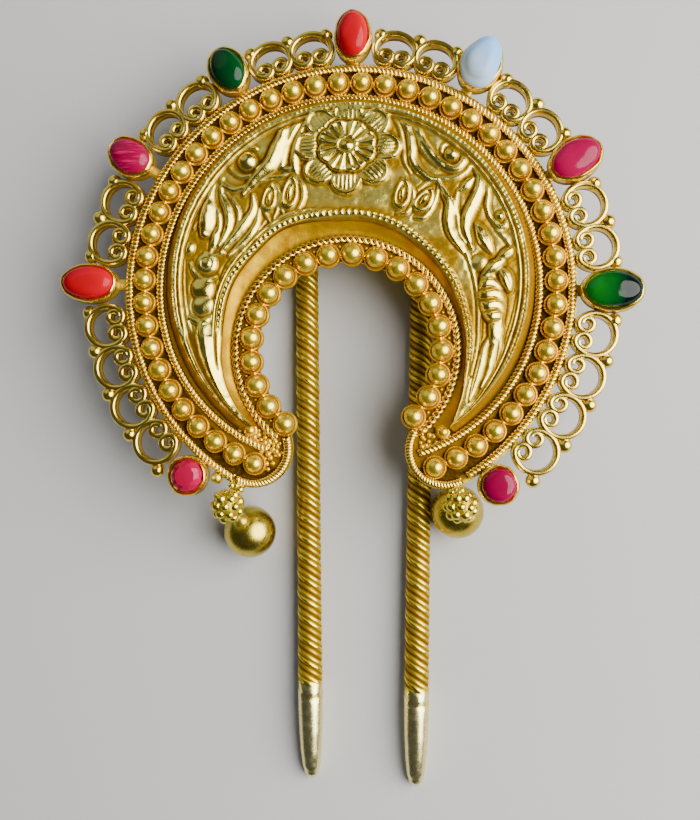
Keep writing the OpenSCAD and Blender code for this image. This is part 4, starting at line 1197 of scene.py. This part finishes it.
def cut_stone(radius, rise, sides, uneven):
    """A cut stone: girdle, two rows of crown facets and a table."""
    # Share of the radius, height, and turn in steps of each row of corners
    rows = ((0.97, -0.6, 0), (1.0, 0.0, 0), (1.0, 0.12, 0), (0.86, rise * 0.62, 0.5), (0.6, rise, 0))
    points = []
    for share, z, turn in rows:
        a = (np.arange(sides) + turn) * 2 * np.pi / sides
        r = radius * share * (1 + uneven * np.sin(2 * a + 1.0))
        points.append(np.stack([r * np.cos(a), r * np.sin(a), np.full(sides, z)], -1))
    j = np.arange(sides)
    after = (j + 1) % sides
    faces = [grid_faces(3, sides, False, True)[:, ::-1]]
    for low, turned_up in ((2, True), (3, False)):
        a, b = low * sides + j, (low + 1) * sides + j
        an, bn = low * sides + after, (low + 1) * sides + after
        if turned_up:
            faces += [np.stack([a, an, b], -1), np.stack([an, bn, b], -1)]
        else:
            faces += [np.stack([a, bn, b], -1), np.stack([a, an, bn], -1)]
    faces += [j[::-1][None], (4 * sides + j)[None]]
    return np.concatenate(points), faces


def light_in(i, x, y, blur=1.7, shift=0.0):
    """Where a stone's two tones meet, the way to its bright side, and how far the tones take to change."""
    p = at_stone(np.zeros((1, 3)), i)[0]
    return (p[0] + shift * x, p[1] + HEAD_Y + shift * y, p[2] + 1.6), (x, y, 0.3), blur


def stone_finishes(tones):
    """One finish for each stone, in the order of the stones."""
    coral, ruby, green, pearl = tuple(tones.coral), tuple(tones.ruby), tuple(tones.green), tuple(tones.pearl)
    return [
        stone_finish("pink_cut", (0.55, 0.003, 0.07), (0.34, 0.001, 0.02), light_in(0, 1, 0.2), 0.08, 0.3),
        stone_finish("coral_left", coral, shaded(coral, 0.75), light_in(1, 1, 0.3), 0.1),
        stone_finish("ruby_left", ruby, shaded(ruby, 0.55), light_in(2, 1, -0.4), 0.1, 0.15, streaks=True),
        stone_finish("deep_green", (0.001, 0.05, 0.009), (0.0005, 0.012, 0.003),
                     light_in(3, 1, 0), 0.06, 0.1),
        stone_finish("coral_top", coral, shaded(coral, 0.7), light_in(4, 1, 0.2), 0.1),
        stone_finish("pearl", pearl, (0.2, 0.46, 0.85), light_in(5, -0.9, -0.5, 1.5, 0.5), 0.1, milky=True),
        stone_finish("ruby_right", shaded(ruby, 0.95), shaded(ruby, 1.3), light_in(6, 1, 0.3), 0.1, 0.15),
        stone_finish("green_glass", shaded(green, 1.6), (0.0003, 0.007, 0.006),
                     light_in(7, -1, 0.1, 1.3, 0.5), 0.05, 0.2),
        stone_finish("ruby_cut", ruby, shaded(ruby, 0.5), light_in(8, 1, 0), 0.06, 0.2)]


def build_stones(finishes):
    for i, (_, _, half_l, half_w, rise) in enumerate(STONES):
        cut = DOMES[i] is None
        if cut:
            points, faces = cut_stone(half_l - STONE_INSET, rise, 10, 0.03)
        else:
            points, faces = domed_stone(half_l - STONE_INSET, half_w - STONE_INSET, rise, DOMES[i])
        form = Form().add((at_stone(points + [0, 0, BEZEL_H - STONE_SUNK], i), faces))
        nodes = [f"stone_{i + 1}"]
        make_piece(f"stone_{i + 1}_set", form, finishes[i], nodes, crease=0, flat=cut)


# Drops and caps

# Side, place of the cap, place of the ball, the horn tip that carries them, and the cap's seed
DROPS = (("left", (-11.35, -22.1), (-9.85, -25.0), TIP_LEFT[0], 11),
         ("right", (11.75, -21.4), (11.6, -22.3), TIP_RIGHT[0], 12))
DROP_R = 2.7
CAP_Z = 7.25
# Radius of the horn tip's round plate, and height of the middle of the neck between it and the cap
TIP_PLATE_R = 3.95
NECK_Z = PLATE_LOW + 0.75
# A cap's rows of granules: angle above level, how many, and their radius
CAP_ROWS = ((-28, 9, 0.48), (8, 9, 0.54), (46, 6, 0.56))
# How far the middles of a cap's granules lie from its centre, and how far their tops reach
CAP_ROW_R = 1.28
CAP_REACH = 1.84


def build_cap(cap_at, seed):
    """A round cup that is covered with granules, thickest on its upper side."""
    rng = np.random.default_rng(seed)
    form = Form()
    # The core, seen between the granules, gets patina with painted shade
    form.add(ball(1.5, 32, 20, (*cap_at, CAP_Z)), 0.35)
    for row, count, size in CAP_ROWS:
        a = (np.arange(count) + 0.5 * (row == CAP_ROWS[1][0])) * 360 / count + rng.uniform(-5, 5, count)
        at = polar(CAP_ROW_R * math.cos(math.radians(row)), a, cap_at)
        spots = flat_line(at, CAP_Z + CAP_ROW_R * math.sin(math.radians(row)))
        form.add(copies(ball(size, 14, 10), spots, None, rng.uniform(0.86, 1.06, count)))
    form.add(ball(0.5, 14, 10, (*cap_at, CAP_Z + 1.3)))
    return form


def add_neck(form, cap_at, tip):
    """Adds the waisted neck from the horn tip to the cap, and four granules on its root."""
    away = np.array(cap_at) - np.array(tip)
    far = np.linalg.norm(away)
    away /= far
    across = np.array([-away[1], away[0]])
    halfway = (TIP_PLATE_R + far) / 2 - 0.4
    along = np.array([TIP_PLATE_R - 0.1, TIP_PLATE_R + 0.3, halfway, far - 1.3, far - 1.0])
    neck = flat_line(np.array(tip) + away * along[:, None], NECK_Z)
    form.add(sweep(neck, np.array([circle(r, 24, 0.9) for r in (0.8, 0.72, 0.55, 0.66, 0.9)])), 0.1)
    for out, off, size in ((0.25, -0.45, 0.36), (0.3, 0.5, 0.4), (0.85, 0.1, 0.34), (0.1, 0.0, 0.3)):
        spot = np.array(tip) + away * (TIP_PLATE_R + out) + across * off
        form.add(ball(size, 14, 10, (*spot, NECK_Z + 0.62)))


def ball_drop(cap_at, ball_at):
    """A hollow ball that lies on the floor, and its stem, which ends just inside the cap's granules."""
    root = np.array([*ball_at, DROP_R])
    axis = np.array([*cap_at, CAP_Z]) - root
    stem_end = np.linalg.norm(axis) - CAP_REACH - 0.05
    axis /= np.linalg.norm(axis)
    drop = Form().add(ball(DROP_R, 72, 44, tuple(root)))
    stem = [root + axis * s for s in np.linspace(DROP_R - 0.3, max(stem_end, DROP_R + 0.05), 6)]
    sections = np.array([circle(r, 20) for r in (0.9, 0.78, 0.52, 0.46, 0.5, 0.4)])
    # The stem gets light patina with painted shade
    return drop.add(sweep(stem, sections, up=(1.0, 0.0, 0.2)), 0.2)


def build_drops(finish, cap_finish):
    for side, cap_at, ball_at, tip, seed in DROPS:
        form = build_cap(cap_at, seed)
        add_neck(form, cap_at, tip)
        make_piece(f"cap_{side}_granules", form, cap_finish, [f"cap_{side}"], crease=0)
        make_piece(f"drop_{side}_ball", ball_drop(cap_at, ball_at), finish, [f"drop_{side}"], crease=0)


# Prongs

# Side, top and point of each prong
PRONGS = (("left", (-4.95, 7.0), (-2.9, -50.4)), ("right", (7.33, 7.0), (7.95, -50.7)))
# Depth of the two broad strands and of the six fine grooves that wind round a prong
STRAND = 0.08
FINE_GROOVE = 0.17
# Outline of the smooth tip: share of its length, and share of the prong's radius
TIP_OUTLINE = ([0, 0.25, 0.5, 0.72, 0.87, 0.95, 0.985, 1], [1, 0.985, 0.93, 0.84, 0.72, 0.58, 0.44, 0.25])


def build_prongs(sizes, finish):
    lead, tip = sizes.twist_lead / MM, sizes.prong_tip / MM
    for side, top, point in PRONGS:
        top, point = np.array(top), np.array(point)
        long = np.linalg.norm(point - top)
        twist = long - tip
        s = np.r_[np.linspace(0, twist, 560), twist + tip * np.sin(np.linspace(0, np.pi / 2, 60)[1:])]
        radius = 1.22 + 0.11 * np.clip(s / twist, 0, 1)
        radius *= np.interp(np.clip((s - twist) / tip, 0, 1), *TIP_OUTLINE)
        phi = np.arange(56) * 2 * np.pi / 56
        turn = phi[None] - 2 * np.pi * s[:, None] / lead
        fade = np.clip((twist - s) / 0.7, 0, 1)[:, None]
        strands = 0.5 - 0.5 * np.cos(2 * turn + 0.5)
        grooves = (1 - np.abs(np.sin(3 * turn))) ** 1.3
        seam_at = twist + 0.25 + 0.9 * np.cos(phi - 2.0)
        seam = 0.1 * np.exp(-(((s[:, None] - seam_at) / 0.16) ** 2)) * (1 - fade)
        cut = (STRAND * strands + FINE_GROOVE * grooves) * fade
        r = radius[:, None] - cut - 0.02 * (1 - fade) - seam
        section = np.stack([r * np.cos(phi), r * np.sin(phi)], -1)
        path = top + (point - top) / long * s[:, None]
        path = np.column_stack([path, radius])
        # Patina and painted shade lie in the grooves and along the seam, and the smooth tip gets a painted
        # highlight
        hollow = np.clip((strands * 0.35 + grooves * 0.8) * fade + seam * 5, 0, 1) - 0.75 * (1 - fade)
        form = Form().add(sweep(path, section), hollow)
        make_piece(f"prong_{side}_twist", form, finish, [f"prong_{side}"], crease=0)


# Stage

# Place of the camera above the head in millimetres, and its turn in degrees
CAMERA_AT = (8.22, -15.359, 101.1)
CAMERA_TURN = (2.0164, 4.5648, 1.4685)
# Where the lamps point
AIM = Vector((0.0, 0.008, 0.006))
FLOOR_HALF = 1.5


def build_floor(tone):
    corners = [(x * FLOOR_HALF, y * FLOOR_HALF, 0) for x, y in ((-1, -1), (1, -1), (1, 1), (-1, 1))]
    mesh = bpy.data.meshes.new("floor")
    mesh.from_pydata(corners, [], [(0, 1, 2, 3)])
    floor = bpy.data.objects.new("floor", mesh)
    bpy.context.scene.collection.objects.link(floor)
    m = Nodes("pale_paper")
    colour = m.blend(m.span(m.noise(0.02, 3.0), 0.3, 0.7), tone, shaded(tone, 0.96))
    m.join(colour, m.shader.inputs["Base Color"])
    m.shader.inputs["Roughness"].default_value = 0.85
    m.bump(m.noise(2.0, 4.0), 0.2, 0.05)
    mesh.materials.append(m.material)


def build_lamp(name, place, size, power, tint):
    lamp = bpy.data.lights.new(name, "AREA")
    lamp.shape = "DISK"
    lamp.size = size
    lamp.energy = power
    lamp.color = tint
    holder = bpy.data.objects.new(name, lamp)
    holder.location = place
    holder.rotation_euler = (AIM - Vector(place)).to_track_quat("-Z", "Y").to_euler()
    bpy.context.scene.collection.objects.link(holder)


def build_stage(stage):
    build_floor(tuple(stage.floor_tone))
    world = bpy.data.worlds.new("studio")
    bpy.context.scene.world = world
    world.use_nodes = True
    back = world.node_tree.nodes["Background"]
    back.inputs["Color"].default_value = (0.75, 0.8, 0.9, 1.0)
    back.inputs["Strength"].default_value = stage.room_light
    build_lamp("key_light", (0.225, 0.02, 0.205), 0.38, stage.key_power, (1.0, 0.98, 0.95))
    build_lamp("fill_light", (-0.22, 0.28, 0.24), 0.5, stage.key_power * 0.1, (0.9, 0.95, 1.0))


def build_camera(stage):
    lens = bpy.data.cameras.new("camera")
    lens.lens = stage.lens
    lens.clip_start = 0.001
    camera = bpy.data.objects.new("camera", lens)
    camera.location = (Vector(CAMERA_AT) + Vector((0.0, HEAD_Y, 0.0))) * MM
    camera.rotation_euler = Euler([math.radians(turn) for turn in CAMERA_TURN])
    bpy.context.scene.collection.objects.link(camera)
    bpy.context.scene.camera = camera


# Settings, operators and panel

class HairpinSizes(bpy.types.PropertyGroup):
    """Sizes of the hairpin's fine work."""
    relief_height: FloatProperty(
        name="Relief Height", description="Height of the plaque's relief above its field",
        default=0.6 * MM, unit="LENGTH")
    rope_width: FloatProperty(
        name="Rope Width", description="Width of a twisted rope",
        default=0.84 * MM, unit="LENGTH")
    rope_lead: FloatProperty(
        name="Rope Lead", description="Length of one turn of a rope's strands",
        default=0.86 * MM, unit="LENGTH")
    outer_bead: FloatProperty(
        name="Outer Bead", description="Diameter of a bead in the outer row",
        default=1.8 * MM, unit="LENGTH")
    inner_bead: FloatProperty(
        name="Inner Bead", description="Diameter of a bead in the inner row",
        default=1.94 * MM, unit="LENGTH")
    scroll_wire: FloatProperty(
        name="Scroll Wire", description="Thickness of the border's wire",
        default=0.62 * MM, unit="LENGTH")
    scroll_height: FloatProperty(
        name="Scroll Height", description="Height of the border's wire",
        default=1.4 * MM, unit="LENGTH")
    twist_lead: FloatProperty(
        name="Twist Lead", description="Length of one turn of a prong's strands",
        default=4.2 * MM, unit="LENGTH")
    prong_tip: FloatProperty(
        name="Prong Tip", description="Length of a prong's smooth tip",
        default=9.5 * MM, unit="LENGTH")


class HairpinFinish(bpy.types.PropertyGroup):
    """Colours of the hairpin's metal and stones."""
    gold: FloatVectorProperty(
        name="Gold", description="Tone of the gilt metal",
        default=(0.82, 0.7, 0.075), subtype="COLOR", size=3)
    warm_gold: FloatVectorProperty(
        name="Warm Gold", description="Tone of the bead cups and the smooth band",
        default=(0.8, 0.53, 0.012), subtype="COLOR", size=3)
    # This tone is used for the patina and also for the painted shade in hollows and at the feet of parts
    patina_and_shade: FloatVectorProperty(
        name="Patina", description="Tone in the hollows of the metal",
        default=(0.3, 0.135, 0.006), subtype="COLOR", size=3)
    polish: FloatProperty(
        name="Polish", description="Roughness of the polished metal",
        default=0.2, min=0.02, max=1.0)
    coral: FloatVectorProperty(
        name="Coral", description="Tone of the two opaque red stones",
        default=(0.45, 0.0002, 0.008), subtype="COLOR", size=3)
    ruby: FloatVectorProperty(
        name="Ruby", description="Tone of the pink-red stones",
        default=(0.32, 0.0003, 0.05), subtype="COLOR", size=3)
    green: FloatVectorProperty(
        name="Green", description="Tone of the clear green stone",
        default=(0.001, 0.1, 0.006), subtype="COLOR", size=3)
    pearl: FloatVectorProperty(
        name="Pearl", description="Tone of the milky stone",
        default=(0.5, 0.6, 0.66), subtype="COLOR", size=3)


class HairpinStage(bpy.types.PropertyGroup):
    """The stage that the hairpin lies on."""
    floor_tone: FloatVectorProperty(
        name="Floor", description="Tone of the floor",
        default=(0.5, 0.495, 0.485), subtype="COLOR", size=3)
    key_power: FloatProperty(
        name="Key Power", description="Power of the main soft light in watts",
        default=3.6, min=0.0)
    room_light: FloatProperty(
        name="Room Light", description="Strength of the light from all round",
        default=0.09, min=0.0)
    lens: FloatProperty(
        name="Lens", description="Focal length of the camera in millimetres",
        default=41.7, min=10.0)


def finish_of(context):
    """The gilt finishes, made once."""
    f = context.scene.hairpin_finish
    gold, warm, deep = tuple(f.gold), tuple(f.warm_gold), tuple(f.patina_and_shade)

    def gilt(name, tone, shares, dull, **more):
        gold_finish(name, toned(tone, shares), deep, f.polish * dull, **more)

    if "gilt_beads" not in bpy.data.materials:
        # Each low gives painted shade, in the patina's tones, towards the foot of its parts
        gilt("gilt_beads", gold, (1.14, 1.02, 0.85), 1.35, worn=0.08, low=(DECK + 0.3, DECK + 0.9),
             grain=0.02, hammer=0.7, metal=0.9)
        gilt("gilt_cups", warm, (1.15, 1.1, 0.8), 1.3, worn=0.08, low=(DECK - 0.05, DECK + 0.3),
             grain=0.02, metal=0.86)
        gilt("gilt_relief", gold, (1.04, 1.04, 1.9), 0.9, worn=0.08)
        gilt("gilt_band", warm, (0.56, 0.49, 0.05), 1.6, worn=0.12, grain=0.06, hammer=1.4,
             metal=0.6, mottle=2.0)
        gilt("gilt_rope", gold, (1.14, 0.99, 1.5), 1.2, worn=0.08, low=(DECK - 0.02, DECK + 0.3),
             grain=0.01)
        gilt("gilt_scrolls", gold, (1.04, 0.93, 1.4), 1.0, low=(PLATE_LOW - 0.3, PLATE_LOW + 0.9),
             grain=0.015)
        gilt("gilt_collets", gold, (1.03, 0.94, 1.2), 1.1, worn=0.08, low=(DECK - 0.2, DECK + 0.6),
             grain=0.02)
        gilt("gilt_plate", gold, (1.0, 1.0, 1.0), 1.8, worn=0.12, grain=0.04, hammer=0.5,
             grime=channel_grime)
        gilt("gilt_ball", gold, (0.72, 0.68, 0.9), 1.2, worn=0.08, hammer=0.4)
        gilt("gilt_caps", gold, (1.0, 1.0, 1.0), 1.1, grain=0.015)
        gilt("gilt_prongs", gold, (1.0, 0.94, 0.8), 1.2, worn=0.1, grain=0.02, wear=(0.8, 0.7, 0.45))
    return bpy.data.materials


class HAIRPIN_OT_plate(bpy.types.Operator):
    """Gives the base plate and the yoke behind it their cast finish, with painted shade on the plate's deck
    """
    bl_idname = "hairpin.plate"
    bl_label = "Plate and Yoke"

    def execute(self, context):
        for node in ("crescent_plate", "prong_yoke"):
            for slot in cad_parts[node].material_slots:
                slot.material = finish_of(context)["gilt_plate"]
        return {"FINISHED"}


class HAIRPIN_OT_plaque(bpy.types.Operator):
    """Raises the plaque with its rosette, plumes, buds and rims"""
    bl_idname = "hairpin.plaque"
    bl_label = "Plaque"

    def execute(self, context):
        build_plaque(context.scene.hairpin_sizes, finish_of(context)["gilt_relief"])
        return {"FINISHED"}


class HAIRPIN_OT_band(bpy.types.Operator):
    """Makes the smooth hollow band between the inner rope and the plaque"""
    bl_idname = "hairpin.band"
    bl_label = "Cavetto Band"

    def execute(self, context):
        build_band(finish_of(context)["gilt_band"])
        return {"FINISHED"}


class HAIRPIN_OT_ropes(bpy.types.Operator):
    """Winds the pairs of twisted wires"""
    bl_idname = "hairpin.ropes"
    bl_label = "Ropes"

    def execute(self, context):
        build_ropes(context.scene.hairpin_sizes, finish_of(context)["gilt_rope"])
        return {"FINISHED"}


class HAIRPIN_OT_beads(bpy.types.Operator):
    """Sets the two rows of beads in their cups"""
    bl_idname = "hairpin.beads"
    bl_label = "Bead Rows"

    def execute(self, context):
        m = finish_of(context)
        build_bead_rows(context.scene.hairpin_sizes, m["gilt_beads"], m["gilt_cups"])
        return {"FINISHED"}


class HAIRPIN_OT_granules(bpy.types.Operator):
    """Sets the solder granules and the two beads at the ends of the plaque"""
    bl_idname = "hairpin.granules"
    bl_label = "Granules"

    def execute(self, context):
        build_granules(finish_of(context)["gilt_cups"])
        return {"FINISHED"}


class HAIRPIN_OT_filigree(bpy.types.Operator):
    """Bends the scrolls of the border and sets the small balls between them"""
    bl_idname = "hairpin.filigree"
    bl_label = "Scroll Border"

    def execute(self, context):
        build_filigree(context.scene.hairpin_sizes, finish_of(context)["gilt_scrolls"])
        return {"FINISHED"}


class HAIRPIN_OT_bezels(bpy.types.Operator):
    """Makes the collets that hold the stones"""
    bl_idname = "hairpin.bezels"
    bl_label = "Bezels"

    def execute(self, context):
        build_bezels(finish_of(context)["gilt_collets"])
        return {"FINISHED"}


class HAIRPIN_OT_stones(bpy.types.Operator):
    """Sets the stones"""
    bl_idname = "hairpin.stones"
    bl_label = "Stones"

    def execute(self, context):
        build_stones(stone_finishes(context.scene.hairpin_finish))
        return {"FINISHED"}


class HAIRPIN_OT_drops(bpy.types.Operator):
    """Makes the granulated caps and the ball drops"""
    bl_idname = "hairpin.drops"
    bl_label = "Caps and Drops"

    def execute(self, context):
        m = finish_of(context)
        build_drops(m["gilt_ball"], m["gilt_caps"])
        return {"FINISHED"}


class HAIRPIN_OT_prongs(bpy.types.Operator):
    """Twists the two prongs and tapers their tips"""
    bl_idname = "hairpin.prongs"
    bl_label = "Prongs"

    def execute(self, context):
        build_prongs(context.scene.hairpin_sizes, finish_of(context)["gilt_prongs"])
        return {"FINISHED"}


class HAIRPIN_OT_stage(bpy.types.Operator):
    """Lays the floor and sets up the lights and the camera"""
    bl_idname = "hairpin.stage"
    bl_label = "Stage"

    def execute(self, context):
        build_stage(context.scene.hairpin_stage)
        build_camera(context.scene.hairpin_stage)
        return {"FINISHED"}


OPERATORS = (HAIRPIN_OT_plate, HAIRPIN_OT_plaque, HAIRPIN_OT_band, HAIRPIN_OT_ropes, HAIRPIN_OT_beads,
             HAIRPIN_OT_granules, HAIRPIN_OT_filigree, HAIRPIN_OT_bezels, HAIRPIN_OT_stones,
             HAIRPIN_OT_drops, HAIRPIN_OT_prongs, HAIRPIN_OT_stage)


class HAIRPIN_PT_panel(bpy.types.Panel):
    """Lists the steps that dress the hairpin, and their settings"""
    bl_idname = "HAIRPIN_PT_panel"
    bl_label = "Hairpin"
    bl_space_type = "VIEW_3D"
    bl_region_type = "UI"
    bl_category = "Hairpin"

    def draw(self, context):
        scene = context.scene
        for settings in (scene.hairpin_sizes, scene.hairpin_finish, scene.hairpin_stage):
            box = self.layout.box()
            for key in settings.bl_rna.properties.keys():
                if key not in {"rna_type", "name"}:
                    box.prop(settings, key)
        for operator in OPERATORS:
            self.layout.operator(operator.bl_idname)


CLASSES = (HairpinSizes, HairpinFinish, HairpinStage) + OPERATORS + (HAIRPIN_PT_panel,)


def register():
    for cls in CLASSES:
        bpy.utils.register_class(cls)
    bpy.types.Scene.hairpin_sizes = PointerProperty(type=HairpinSizes)
    bpy.types.Scene.hairpin_finish = PointerProperty(type=HairpinFinish)
    bpy.types.Scene.hairpin_stage = PointerProperty(type=HairpinStage)


def unregister():
    del bpy.types.Scene.hairpin_sizes
    del bpy.types.Scene.hairpin_finish
    del bpy.types.Scene.hairpin_stage
    for cls in reversed(CLASSES):
        bpy.utils.unregister_class(cls)


def main():
    register()
    for operator in OPERATORS:
        group, name = operator.bl_idname.split(".")
        getattr(getattr(bpy.ops, group), name)()
    bpy.context.view_layer.update()


if __name__ == "__main__":
    main()
